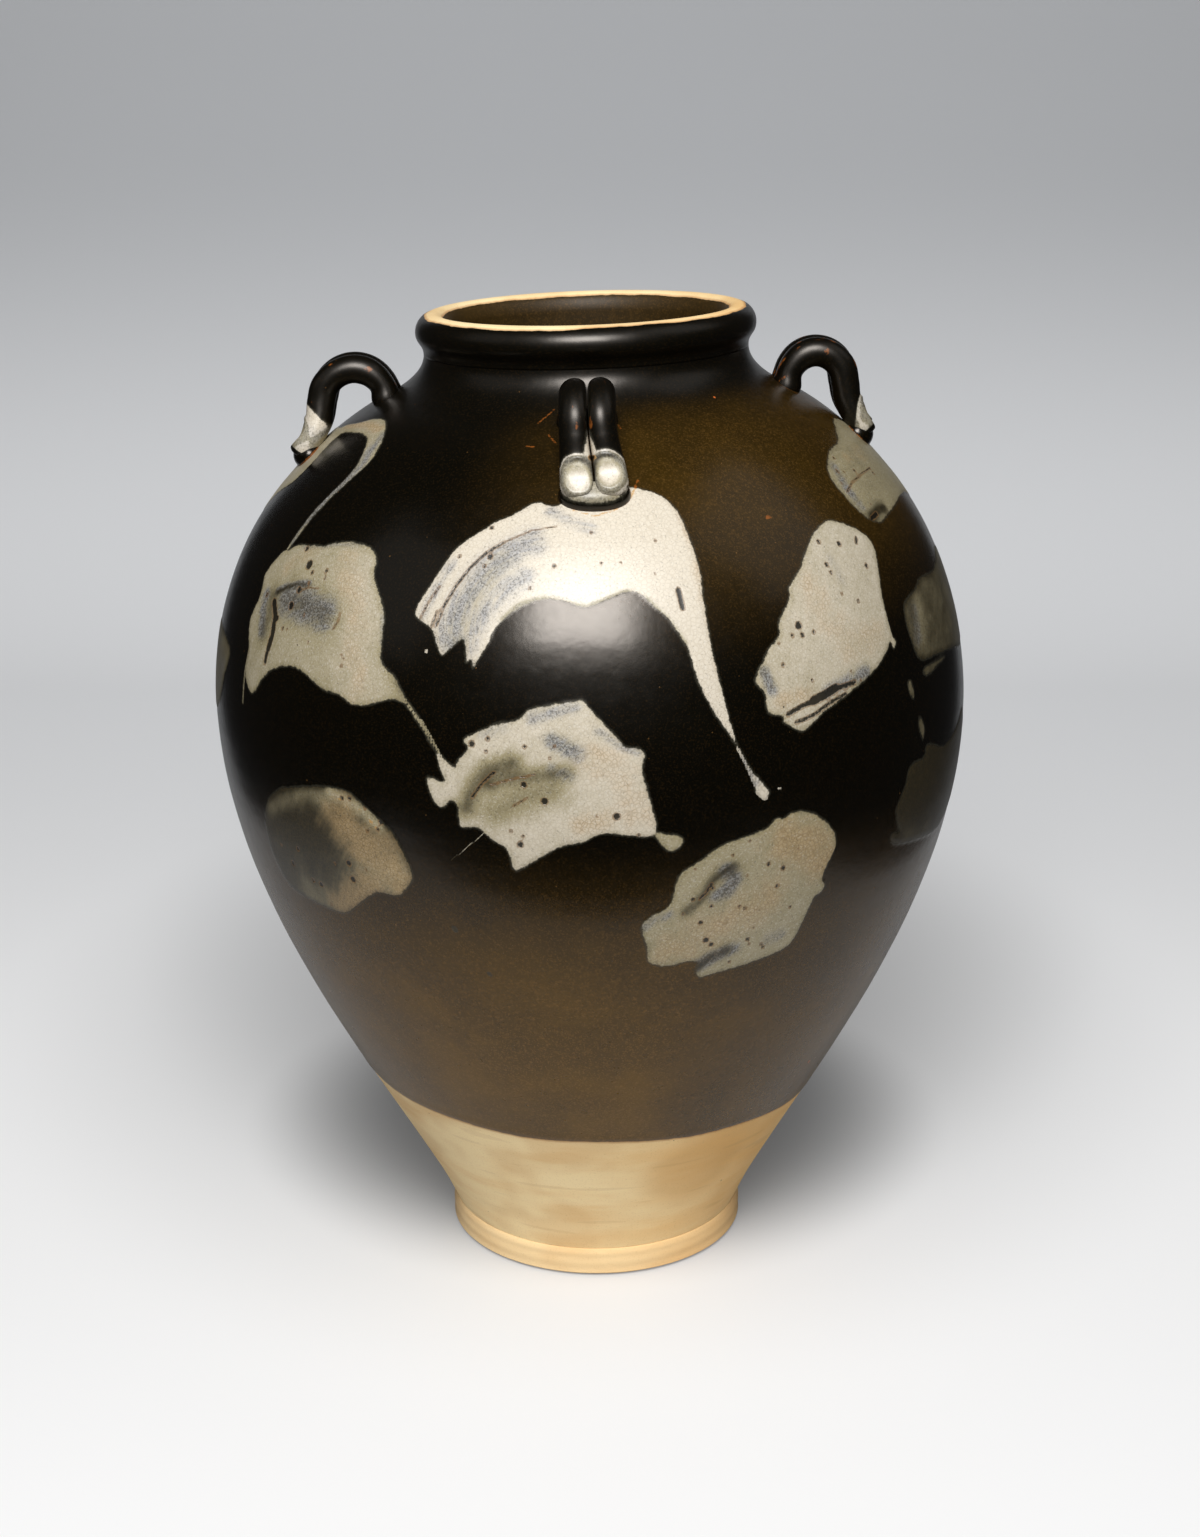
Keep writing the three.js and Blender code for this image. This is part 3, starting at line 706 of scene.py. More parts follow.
# Each splash with the middle of the arc that it was thrown along (azimuth, height) and how thick,
# and so how white, it lies.
LEAVES = [
    (WING, (-4, 296), 1.0), (LEFT_LEAF, (-40, 268), 0.6), (MIDDLE_LEAF, (6, 225), 0.82),
    (MIDDLE_DROP, (6, 225), 0.6), (RIGHT_LEAF, (75, 230), 0.74), (LOW_RIGHT_LEAF, (40, 150), 0.55),
    (LOW_LEFT_LEAF, (-20, 180), 0.0), (UPPER_RIGHT_LEAF, (60, 290), 0.42),
    (RIGHT_EDGE_LEAF, (80, 240), 0.12), (RIGHT_EDGE_TAIL, (80, 240), 0.2), (HIGH_DROP, (75, 230), 0.3),
    (LONG_DROP, (75, 230), 0.25), (LOW_EDGE_LEAF, (80, 180), -0.08), (HOOK, (-78, 330), 0.62),
    (LEFT_EDGE_LEAF, (-70, 220), 0.15), (BACK_WING, (180, 290), 0.95),
    (BACK_LEAF_HIGH, (150, 260), 0.6), (BACK_LEAF_LOW, (110, 180), 0.3),
    (BACK_LEAF_MIDDLE, (200, 220), 0.6), (BACK_LEAF_FAR, (250, 260), 0.65),
    (BACK_DROP, (200, 220), 0.6), (BACK_LEAF_LOW_FAR, (260, 190), 0.35),
]
# Each smear: the line it was drawn along, how wide it is to either side and how strong
BLUE_SMEARS = [
    ([(-20.2, 295), (-19.5, 304), (-17.4, 313.7), (-13.9, 321.6), (-9, 326.8)], 6.5, 0.85),
    ([(-17.3, 291.5), (-16.2, 301), (-13.6, 309), (-9.6, 315.6)], 5.5, 0.7),
    ([(-6.1, 336), (-2.5, 333), (0.9, 331)], 3, 0.6),
    ([(-24.5, 302), (-23.3, 310), (-21.7, 319.5)], 2.5, 0.7), ([(22.8, 243), (21, 252)], 3, 0.6),
    ([(-55.8, 299.8), (-53.7, 302.3), (-50.8, 304.6), (-48.2, 305.7)], 1.6, 1.0),
    ([(-52, 298), (-46.3, 298), (-42.8, 297)], 7.5, 1.0),
    ([(-58.9, 297), (-58.6, 292), (-57, 284)], 3, 1.0),
    ([(-35.4, 319.3), (-31.5, 304.3), (-29.9, 284.4)], 1.8, 0.5),
    ([(-54, 317), (-46.2, 320), (-39.8, 321.8)], 1.8, 0.5),
    ([(-4.6, 262), (-2.9, 259.8), (-1.3, 257.7)], 3.5, 0.9),
    ([(-7.5, 269.8), (-5, 272), (-1.7, 274)], 3, 0.7), ([(1.2, 265.8), (4, 260.8), (6.5, 258)], 2, 0.6),
    ([(-14.2, 263.4), (-11.3, 266)], 3, 0.5), ([(-4.6, 252), (-2.6, 249.3)], 3, 0.6),
    ([(18.9, 211), (20.4, 207), (19.2, 202.4), (18, 200.5)], 3.5, 0.9),
    ([(7.7, 190), (9, 193.3), (11.2, 194.6)], 2.5, 0.6),
    ([(16.3, 171.5), (18.3, 174.5), (21.6, 176.8)], 3.5, 0.9), ([(27.3, 177.7), (29, 179)], 4, 0.5),
    ([(25.2, 282), (25.7, 278.4), (26.2, 275.4)], 2.5, 0.9),
    ([(35, 271.3), (39.4, 274.3), (43, 275.7)], 3, 0.9), ([(42, 314.7), (42.7, 305.3)], 3, 0.35),
    ([(57, 340), (55.8, 333), (56.4, 327)], 3, 0.7),
    ([(-56, 355), (-53.5, 346), (-56, 332), (-58, 318)], 3, 0.8), ([(58, 290), (57, 280)], 4, 0.7),
    ([(-72, 262), (-74, 250)], 7, 0.6), ([(150, 308), (158, 322), (170, 330)], 6, 0.9),
    ([(175, 250), (184, 238)], 7, 0.8), ([(118, 290), (128, 300)], 7, 0.8),
    ([(222, 300), (230, 288)], 7, 0.7),
]
WARM_SMEARS = [
    ([(16.3, 337.5), (17.7, 325), (17.7, 310), (18.4, 293), (19.1, 278.6)], 3.5, 0.6),
    ([(-55.7, 308), (-50.5, 317.5)], 5, 0.5), ([(-41.4, 316), (-35.5, 296), (-33.6, 273)], 9, 0.55),
    ([(0.7, 256), (4, 251.5), (6.4, 235.4)], 9, 0.6), ([(-1, 232.2), (2.7, 234.5)], 6, 0.6),
    ([(28.5, 219), (32.1, 216), (34.4, 208.5)], 12, 0.9),
    ([(12, 179.4), (17.8, 186), (21.6, 191.3), (26, 197.4)], 12, 0.7),
    ([(36.3, 308), (37, 297), (41, 285), (46.8, 286.6)], 9, 0.55),
    ([(27.5, 271), (32.2, 273.3)], 5, 0.6),
    ([(-36.4, 223), (-33.5, 215.3), (-29.3, 209.7), (-28, 204.5)], 12, 0.9),
    ([(-28, 204.5), (-33.4, 198.7), (-40.3, 186)], 9, 0.8),
    ([(-60, 356), (-68, 356.5), (-80, 353)], 3, 0.9), ([(65, 341), (75, 340)], 6, 0.5),
    ([(146, 206), (152, 214)], 9, 0.8), ([(246, 212), (252, 206)], 9, 0.8),
]
# Where a splash lies thicker, or thinner where the strength is less than nothing
THICK_SMEARS = [
    ([(-12, 302.4), (-9.9, 307), (-6.4, 309), (-3.4, 307.5), (0, 306), (3, 308.7), (6, 310.8), (9, 308),
      (11.4, 301.6), (13.7, 294)], 1.3, -0.6),
    ([(-18.9, 295), (-17, 308.6), (-13, 320.4)], 6, -0.25),
    ([(-55.7, 299.4), (-53.6, 302), (-50.8, 304.4), (-48, 305.4)], 1.2, -0.35),
    ([(-57, 297.5), (-56.1, 290.7), (-56.1, 283.6)], 5, -0.35),
    ([(-52, 298), (-46.3, 298), (-43, 297)], 8, -0.28),
    ([(-38.5, 313), (-34.8, 297.7), (-33.7, 276.3)], 9, 0.12), ([(-27, 278.6), (-26, 274)], 3, -0.2),
    ([(-16.5, 236), (-15.3, 244.3), (-13.4, 250.3), (-10, 253.7)], 4, -0.62),
    ([(-12.9, 244.7), (-10, 248), (-5.8, 250.5), (-2.6, 251.3)], 3, -0.42),
    ([(-12.2, 235.7), (-8.8, 241), (-5, 244.7)], 6, -0.42), ([(-4.6, 262), (-2.5, 259.3)], 3, -0.2),
    ([(4, 251.5), (6.4, 233)], 8, 0.08),
    ([(20, 212.4), (18.2, 209.8), (16.9, 207), (16.2, 202.8), (15, 198.7), (13.5, 195.4)], 2.5, -0.42),
    ([(19.2, 202.4), (20.6, 208.4)], 4, -0.15), ([(16, 170.5), (17.9, 174), (20.3, 176.7)], 3, -0.45),
    ([(15.9, 183), (21.8, 187.8)], 8, 0.06), ([(25.2, 282), (25.8, 277.4)], 2, -0.3),
    ([(40.4, 273), (43, 275.2)], 3, -0.2), ([(37, 303.5), (37.3, 290.5)], 9, 0.06),
    ([(57.8, 323), (61.6, 324), (64, 323.7)], 2.5, -0.5), ([(75.6, 323), (62, 320.8)], 3, 0.12),
    ([(-49.8, 216.6), (-44.2, 215.6), (-40.3, 213)], 9, -0.08),
    ([(-35.7, 220.7), (-32.3, 214), (-29, 208)], 13, 0.27),
    ([(-28.2, 202.5), (-33.4, 198.7), (-40.5, 185), (-46.7, 183.6)], 10, 0.22),
    ([(-38.2, 233.4), (-34.8, 231), (-32.4, 229), (-30, 224.5)], 2.6, 0.45),
    ([(-53, 217), (-43.7, 229), (-39.3, 230)], 4, 0.22), ([(60, 290), (58, 280)], 5, 0.15),
    ([(62, 203), (54, 205)], 5, 0.14), ([(-71, 262), (-74, 250)], 8, 0.1),
    ([(160, 312), (172, 316)], 9, -0.15), ([(120, 286), (130, 294)], 8, -0.2),
    ([(174, 240), (182, 236)], 8, -0.25),
]
# Each stroke of dark glaze through a splash: its line and half its width
DARK_STROKES = [
    ([(-22.2, 298.8), (-21.5, 305.3), (-20.2, 312), (-18.5, 318), (-16.3, 323), (-13.7, 326.5)], 0.6),
    ([(-13.7, 326.5), (-9.2, 330.4), (-4.8, 331.8)], 0.35),
    ([(-25, 300.4), (-24, 306.8), (-22.8, 311.6)], 0.45), ([(-23, 298), (-22.4, 303.8)], 0.5),
    ([(13.9, 311), (14.2, 305)], 1.0),
    ([(-55.8, 295.8), (-54.3, 291.6), (-53.7, 284.8), (-54, 279)], 1.6),
    ([(-54.2, 277.3), (-54.2, 273.7)], 1.2), ([(-49.9, 302.5), (-47.8, 304.4), (-45.3, 305)], 0.35),
    ([(-39.4, 298.7), (-39.3, 296), (-40, 292.4)], 0.5), ([(-37.5, 284.7), (-36.8, 283)], 0.5),
    ([(-13, 245.3), (-10, 248), (-7, 250)], 0.4), ([(-15.6, 240), (-14.2, 245.6), (-12.5, 250)], 0.6),
    ([(-10, 238), (-8, 241.5)], 0.4), ([(17, 206.4), (16.2, 202.4), (15.3, 200.3)], 0.6),
    ([(28.2, 266.3), (30.5, 268.3), (34, 270), (37, 272.2), (40.4, 272.7)], 1.0),
    ([(29.4, 263), (32.2, 264.4), (35.3, 267.5), (38.5, 269.6)], 0.8),
    ([(32.5, 269.4), (36.8, 272.3)], 1.7), ([(24.4, 275), (24.7, 271.5)], 0.7),
    ([(71, 335.5), (64.5, 335.3), (58.9, 334.2), (55.3, 332.2)], 0.5),
    ([(57.3, 322.3), (60, 323.2)], 1.0),
]
# Each thread and drop of pale slip on the dark glaze
PALE_STROKES = [
    ([(-25.8, 273), (-23.9, 267.5), (-22.5, 262.8)], 0.6),
    ([(-23, 266), (-21.5, 260.6), (-20.3, 255.4), (-19.8, 253)], 0.65),
    ([(20.3, 257), (21.5, 250.5), (22.8, 242.5)], 0.7), ([(23.3, 240), (24.3, 237.5)], 1.3),
    ([(26.4, 240.2), (26.6, 239.8)], 0.7), ([(-59.8, 279), (-60.3, 268), (-60.3, 254)], 0.8),
    ([(-19.2, 214.6), (-16.3, 221.6), (-13.8, 227.7)], 0.3), ([(-20, 186.3), (-19.8, 185.2)], 1.2),
    ([(-15.6, 167.6), (-15.4, 166.8)], 1.0), ([(-23.2, 290.3), (-23.2, 289.8)], 0.7),
    ([(143.5, 281), (150, 272), (154, 262)], 0.7), ([(114, 203), (108, 198), (105, 190)], 0.6),
    ([(175, 212), (174.5, 200), (173, 190)], 0.7), ([(243, 300), (250, 304), (257, 305)], 0.5),
    ([(218, 200), (212, 193), (209, 184)], 0.6), ([(-16, 185), (-15.9, 184.6)], 0.5),
    ([(3, 176), (3.2, 175.6)], 0.5), ([(8, 152), (8.1, 151.7)], 0.5),
]
# Each pit, where gas broke through the splash: azimuth, height, radius. The slip round a pit is torn
# too, so each is drawn a little wider.
PIT_SPREAD = 1.25
PITS = [
    (-16.2, 331, 0.65), (-15.4, 322, 0.85), (-16.1, 319, 0.6), (-5, 319.6, 0.65), (2.4, 320.3, 0.5),
    (-8.5, 312.6, 0.5), (0.9, 329.7, 0.5), (-20.6, 321.6, 0.6), (11.4, 326.5, 0.5), (5.5, 320.3, 0.4),
    (10.6, 316.4, 0.4), (-52.7, 316.5, 1), (-50.1, 311.7, 1.5), (-48.5, 309.5, 0.8),
    (-45.3, 311.2, 0.8), (-45, 308.7, 0.6), (-48.3, 306, 0.6), (-50.1, 302.6, 1.1), (-50.8, 296.5, 1.3),
    (-46.9, 294.7, 0.6), (-51.3, 288, 0.7), (-50.1, 288.3, 0.5), (-53.5, 290.7, 0.9), (-44.6, 286, 0.5),
    (-37.1, 280.4, 0.6), (-58.7, 297, 0.8), (-8.4, 259.7, 0.65), (-8.5, 246, 0.95), (-5.8, 240.2, 1.05),
    (3.7, 234.8, 1.1), (-9.2, 223.5, 1), (-13.4, 261.8, 0.75), (-15.6, 259.6, 1), (-13.6, 257.3, 0.6),
    (-10.4, 228.4, 0.6), (-8.8, 226.8, 0.55), (-5, 256, 0.5), (-4.4, 260.2, 0.5), (1.1, 235, 0.4),
    (6.6, 227.5, 0.6), (-36.4, 205.6, 1), (-36.2, 199, 1.1), (-39.2, 204, 0.6), (-43.6, 192, 1),
    (-45.4, 192.5, 0.8), (-49.8, 196.5, 1), (-47.4, 204.4, 0.9), (-52, 202.7, 0.6), (-42.4, 184.4, 0.6),
    (-33.2, 204.8, 0.5), (-32, 221, 0.6), (-36.1, 231.8, 0.8), (-34.7, 232.5, 0.8), (-29.6, 225.7, 0.9),
    (-32.1, 230, 0.6), (-30.2, 222.6, 0.7), (22.2, 221.5, 0.5), (19.8, 216.8, 0.55), (25.4, 211, 0.75),
    (27.8, 208.3, 0.9), (22.2, 207.7, 0.5), (27.2, 201.2, 0.75), (30, 215.3, 0.45), (14.4, 200.4, 0.65),
    (17.2, 196.8, 0.7), (21.5, 195.2, 0.65), (22.4, 194, 0.7), (30, 191, 0.6), (15.8, 190.2, 0.8),
    (16.9, 182.3, 1), (17.8, 180, 0.8), (23.6, 180, 0.75), (24, 177.7, 0.5), (26.1, 176.8, 0.6),
    (26.5, 175.2, 0.65), (21.2, 171, 0.6), (13.1, 194.7, 0.5), (17.2, 204.4, 0.6), (24.3, 185, 0.45),
    (14.5, 212.7, 0.5), (41, 320, 0.8), (45.3, 318, 0.9), (50.1, 318.3, 0.7), (49.5, 317, 0.7),
    (49.5, 309.2, 0.85), (40.7, 312.6, 0.8), (41, 310, 0.7), (41.8, 302.6, 0.6), (44.8, 299, 0.7),
    (32.1, 295.3, 1.2), (30.7, 292.5, 0.7), (32.4, 292, 0.8), (34.5, 292.4, 0.7), (28.3, 283.3, 0.7),
    (28.2, 290.6, 0.5), (32.8, 276.5, 0.6), (41.7, 273, 0.5), (40, 276.8, 0.5), (59.5, 342.5, 0.6),
    (57, 338.7, 0.7), (59, 337.8, 0.5), (63.1, 337, 0.7), (70.5, 333.8, 0.7), (55.4, 335, 0.5),
    (55.4, 324, 0.6), (60, 326.4, 0.5), (2.6, 292, 1.4), (120, 300, 0.8), (126, 290, 0.6),
    (131, 283, 1), (136, 300, 0.6), (180, 255, 0.9), (186, 240, 0.7), (172, 240, 0.6), (192, 262, 0.5),
    (225, 300, 0.9), (232, 290, 0.7), (240, 220, 0.9), (235, 205, 0.7), (130, 215, 0.8),
    (142, 222, 0.6), (150, 208, 0.9), (90, 283, 0.8), (84, 290, 0.6), (92, 330, 0.7), (84, 340, 0.6),
    (152, 318, 0.7), (176, 324, 0.8), (190, 318, 0.6),
]
# Where the glaze is thin and burnt to orange: a line and half its width
AMBER_STROKES = [
    ([(-12.6, 362.2), (-8.9, 366.3)], 0.35), ([(-13.5, 355.7), (-11.8, 355.5)], 0.6),
    ([(-8.9, 358.9), (-6.6, 356.3)], 0.45), ([(8.4, 361.2), (8.8, 360.2)], 0.5),
    ([(82, 364), (81, 356), (80.5, 348), (81, 342)], 0.45), ([(32.8, 330), (33.3, 330)], 0.8),
    ([(-2.5, 336.8), (1.6, 334.6), (5, 336.2), (8.4, 340), (10.3, 345)], 0.5),
    ([(-97, 363), (-98.5, 356), (-98, 350)], 0.4), ([(-92.3, 361.4), (-93.5, 358)], 0.8),
    ([(-39, 233), (-38.4, 232.8)], 0.5), ([(-36.8, 231.4), (-36.2, 231)], 0.6),
    ([(-35.4, 229), (-35, 228.4)], 0.5), ([(-33.2, 229.2), (-32.8, 228.6)], 0.6),
    ([(-31.5, 225.6), (-31, 225)], 0.7), ([(-30.6, 223.4), (-30.2, 222.8)], 0.6),
    ([(-32.4, 224), (-32.2, 223.6)], 0.4),
]


def plain_marks(shape):
    """Marks of glazed clay that no splash has touched."""
    far = {"splash": -FAR, "stroke": -NEAR, "thread": -NEAR, "amber": -NEAR, "glazed": FAR}
    return {mark: np.full(shape, value) for mark, value in far.items()}


def glaze_marks(line):
    """What the glaze is at each point of a stretch of wall, and how thick it lies."""
    skin = WheelSkin(line)
    marks = plain_marks(skin.shape)
    for name in ("round", "out", "tone", "matt"):
        marks[name] = np.zeros(skin.shape)
    for outline, centre, tone in LEAVES:
        field = skin.splash(outline)
        nearer = field > marks["splash"]
        for name, values in zip(("splash", "round", "out", "tone"), (field, *skin.sweep(centre), tone)):
            marks[name] = np.where(nearer, values, marks[name])
    for mark, strokes in {"stroke": DARK_STROKES, "thread": PALE_STROKES, "amber": AMBER_STROKES}.items():
        for path, half_width in strokes:
            marks[mark] = np.maximum(marks[mark], skin.stroke(path, half_width))
    for bearing, level, radius in PITS:
        dot = [(bearing, level - 0.1), (bearing, level + 0.1)]
        marks["stroke"] = np.maximum(marks["stroke"], skin.stroke(dot, PIT_SPREAD * radius))
    for name, smears in {"blue": BLUE_SMEARS, "warm": WARM_SMEARS}.items():
        layers = [strength * skin.smear(path, half_width) for path, half_width, strength in smears]
        marks[name] = np.clip(np.max(layers, axis=0), 0, 1)
    marks["tone"] = marks["tone"] + sum(strength * skin.smear(*smear) for *smear, strength in THICK_SMEARS)
    azimuth = np.degrees(turn)
    height = line[:, 1:]
    brown = ramp(height, 228, 120) * (1 - 0.3 * ramp(azimuth, 5, 30) * ramp(azimuth, 60, 40))
    # Painted sheen: the right of the shoulder is painted browner, standing in for light from above on the
    # right.
    painted_shoulder_sheen = ramp(height, 280, 345) * ramp(height, 371, 357) * ramp(np.cos(turn - 0.95), 0.1, 0.95)
    brown = brown + 0.3 * painted_shoulder_sheen
    marks["brown"] = np.clip(brown, 0, 1)
    marks["matt"] = marks["matt"] + NECK_MATT * ramp(height, 344, 362)
    behind = ramp(abs(azimuth), 175, 110)
    clay_line = GLAZE_EDGE_HEIGHT + 1.2 * np.sin(5 * turn + 2)
    clay_line = clay_line + 5 * behind * ramp(-azimuth, 8, 42) - 6 * behind * ramp(azimuth, 32, 66)
    marks["glazed"] = np.clip(height - clay_line, -FAR, FAR)
    coat = GLAZE_THICKNESS * ramp(marks["glazed"], -0.3, 1.0)
    coat = coat + GLAZE_ROLL * np.exp(-((marks["glazed"] - 1.6) / 1.6) ** 2)
    scored = SCORED_DEPTH * ramp(marks["stroke"], -0.4, 0.6)
    proud = SLIP_THICKNESS * ramp(marks["splash"], -0.4, 1.0) - scored
    marks["thick"] = coat + proud * ramp(marks["splash"], -0.4, 0.6)
    return marks


# Tiny crystals of iron oxide in the glaze tint what it mirrors.
IRON_SHEEN = (1.0, 0.92, 0.84, 1.0)
# Colours of the iron glaze: thick, thin or with a painted sheen, and its freckles, crystals, flecks and
# sparks.
GLAZE_BLACK = paint(5, 4, 1)
GLAZE_BROWN = paint(96, 69, 10)
FRECKLE = paint(112, 80, 32)
CRYSTAL = paint(132, 96, 48)
FLECK = paint(140, 100, 52)
SPARK = paint(196, 100, 44)


def iron_glaze_look(recipe):
    """Colour, roughness and relief of the dark glaze: near black where thick, olive brown where thin and
    where a sheen is painted on the shoulder.
    """
    brown = recipe.mark("brown")
    patches = recipe.step(recipe.cloud(34, 4, 9.0), 0.34, 0.68)
    mist = recipe.cloud(5, 2, 5.0)
    grain = recipe.cloud(0.7, 2, 1.3)
    # Olive brown where the glaze is thin, and where the shoulder's sheen is painted.
    thin = brown * (0.5 + patches * 0.35 + mist * 0.25)
    freckles = recipe.step(recipe.cloud(1.7, 2, 4.4), 0.52, 0.68)
    crystals = recipe.step(grain, 0.52, 0.68) * (0.03 + brown * 0.45)
    flecks = recipe.step(recipe.dots(4.6, 0.3, 0.3, 3.3), 0, 0.14)
    sparks = recipe.step(recipe.dots(21, 0.12, 0.75, 6.1), 0, 0.3)
    colour = recipe.layered(
        GLAZE_BLACK, (GLAZE_BROWN, thin), (FRECKLE, freckles * brown * 0.4), (CRYSTAL, crystals),
        (FLECK, flecks * (0.25 + brown * 0.3)), (SPARK, sparks * 0.9))
    relief = recipe.cloud(3.2, 1, 2.9) * 0.035 + grain * 0.006 + flecks * 0.015 + sparks * 0.1
    return colour, 0.2 + mist * 0.08 + brown * 0.05 + recipe.mark("matt") * 0.12, relief


# Colours of the slip: thin, half thick and thick, its warm and bluish zones, the dark grain that shows
# through it, its milky grain and the fine net of cracks.
SLIP_THIN = paint(39, 35, 21)
SLIP_GREY = paint(150, 140, 109)
SLIP_CREAM = paint(207, 197, 179)
SLIP_WARM = paint(180, 148, 102)
SLIP_BLUE = paint(130, 135, 145)
SLIP_PEPPER = paint(44, 40, 30)
SLIP_MILK = paint(214, 208, 196)
SLIP_NET = paint(112, 90, 54)


def splash_look(recipe):
    """Colour, roughness and relief of the pale slip: cream where thick, grey and speckled where thin."""
    arcs = recipe.node("CombineXYZ", None, {0: recipe.mark("round") / 30, 1: recipe.mark("out") / 2.0})
    grain = {"Vector": arcs, "Scale": 1.0, "Detail": 3.0, "Roughness": 0.65}
    streak = recipe.node("TexNoise", None, grain)
    swirl = streak - 0.5
    cloudy = recipe.cloud(7, 2, 2.4) - 0.5
    speck = recipe.cloud(0.75, 2, 6.6)
    edge = recipe.step(recipe.mark("splash"), 2.6, 0.0)
    blue = recipe.step(recipe.mark("blue") * (1 + swirl * 2.2 + cloudy * 1.6), 0.08, 1.0)
    warm = recipe.step(recipe.mark("warm") + cloudy * 0.8 + swirl * 0.4, 0.2, 1.0)
    thick = recipe.mark("tone") + swirl * (0.17 + blue * 0.5) + cloudy * 0.22 - edge * 0.1 - blue * 0.1
    thin = recipe.step(thick, 0.75, 0.2)
    crowd = 0.1 + blue * 0.12 + edge * 0.05 + thin * 0.05
    peppered = recipe.step(speck, 0.7 - crowd, 0.78 - crowd)
    milky = recipe.step(recipe.cloud(0.65, 1, 8.8), 0.53, 0.68) * recipe.step(thick, 0.0, 0.8)
    cells = {"Vector": recipe.place, "Scale": 1 / 1.6}
    net = recipe.node("TexVoronoi", {"feature": "DISTANCE_TO_EDGE"}, cells)
    colour = recipe.layered(
        SLIP_THIN, (SLIP_GREY, recipe.step(thick, -0.05, 0.55)), (SLIP_CREAM, recipe.step(thick, 0.45, 1.0)),
        (SLIP_WARM, warm * 0.5), (SLIP_BLUE, blue * recipe.step(thick, -0.1, 0.5) * 0.66),
        (SLIP_PEPPER, peppered * (0.3 + blue * 0.25 + thin * 0.15)), (SLIP_MILK, milky * 0.36),
        (SLIP_NET, recipe.step(net, 0.17, 0.0) * (0.16 + warm * 0.34)))
    relief = cloudy * 0.05 + streak * 0.03 - peppered * 0.012
    return colour, 0.34 + streak * 0.1, relief


# Colours where the coats meet: the slip's halo on the glaze, burnt orange on glaze and on slip, the rim
# and the bottom of a pit, and the clay along the glaze's lower edge.
HALO = paint(58, 56, 46)
AMBER_ON_GLAZE = paint(146, 82, 30)
AMBER_ON_SLIP = paint(186, 142, 78)
PIT_RIM = paint(116, 84, 48)
PIT_DARK = paint(20, 16, 8)
EDGE_TOAST = paint(168, 104, 50)


def glaze_finish():
    """Three coats in one finish: the marks on a piece say where each of them lies."""
    recipe = Recipe("iron_glaze_with_pale_splashes")
    dark, dark_roughness, dark_relief = iron_glaze_look(recipe)
    pale, pale_roughness, pale_relief = splash_look(recipe)
    clay, clay_roughness, clay_relief = bare_clay_look(recipe)
    frayed = (recipe.cloud(2.4, 3, 7.7) - 0.5) * 1.5 + (recipe.cloud(0.7, 2, 4.7) - 0.5) * 0.7
    depth = recipe.mark("splash") + frayed
    thread = recipe.step(recipe.ragged("thread", 1.1, 2.2, 0.3), -0.1, 0.12)
    either = {0: recipe.step(depth, -0.1, 0.5), 1: thread * 0.8}
    cover = recipe.node("Math", {"operation": "MAXIMUM"}, either)
    halo = recipe.step(depth, -0.9, 0.0) * (1 - cover)
    holes = recipe.ragged("stroke", 1.2, 3.7, 0.7)
    hole = recipe.step(holes, -0.05, 0.3)
    rim = recipe.step(holes, -0.5, -0.05) * (1 - hole)
    small = recipe.dots(5.5, 0.22, 0.32, 5.5)
    hole = hole + recipe.step(small, 0, 0.2) * (1 - hole) * 0.8
    amber = recipe.step(recipe.ragged("amber", 1.3, 9.3, 1.2), -0.15, 0.25)
    dark = recipe.layered(dark, (HALO, halo * 0.6), (AMBER_ON_GLAZE, amber * 0.65))
    pale = recipe.layered(
        pale, (AMBER_ON_SLIP, amber * 0.75), (PIT_RIM, rim * 0.65), (PIT_DARK, hole * 0.95))
    edge = recipe.ragged("glazed", 5, 4.1, 1.2)
    glazed = recipe.step(edge, -0.15, 0.15)
    toasted = recipe.step(edge, -1.5, -0.1) * (1 - glazed)
    clay = recipe.blend(clay, EDGE_TOAST, toasted * 0.6)
    relief = dark_relief + (pale_relief - dark_relief) * cover - hole * cover * 0.2
    relief = clay_relief + (relief - clay_relief) * glazed
    bump = recipe.node("Bump", None, {"Height": relief, "Distance": MM, "Strength": 1.0}, "Normal")
    looks = [
        {"Base Color": dark, "Roughness": dark_roughness, "Specular Tint": IRON_SHEEN, "IOR": 1.47},
        {"Base Color": pale, "Roughness": pale_roughness, "IOR": 1.52},
        {"Base Color": clay, "Roughness": clay_roughness},
    ]
    iron, slip, body = (recipe.node("BsdfPrincipled", None, {**look, "Normal": bump}) for look in looks)
    splashed = recipe.node("MixShader", None, {0: cover, 1: iron, 2: slip})
    dipped = recipe.node("MixShader", None, {0: glazed, 1: body, 2: splashed})
    recipe.feed(recipe.output.inputs["Surface"], dipped)
    return recipe.material


glaze = glaze_finish()


def outer_skin():
    """The whole outside of the wall from foot to throat, with its marks and its smooth normals."""
    marks = glaze_marks(outer_line)
    off = wheel_relief(outer_line[:, 1:]) + marks["thick"] - SKIN * ramp(outer_line[:, 1:], 13, 30)
    away = outwards(outer_line)
    radius = outer_line[:, :1] + away[:, :1] * off
    height = outer_line[:, 1:] + away[:, 1:] * off
    points = on_wheel(radius, height)
    return points, surface_normals(points), marks


skin_points, skin_normals, skin_marks = outer_skin()


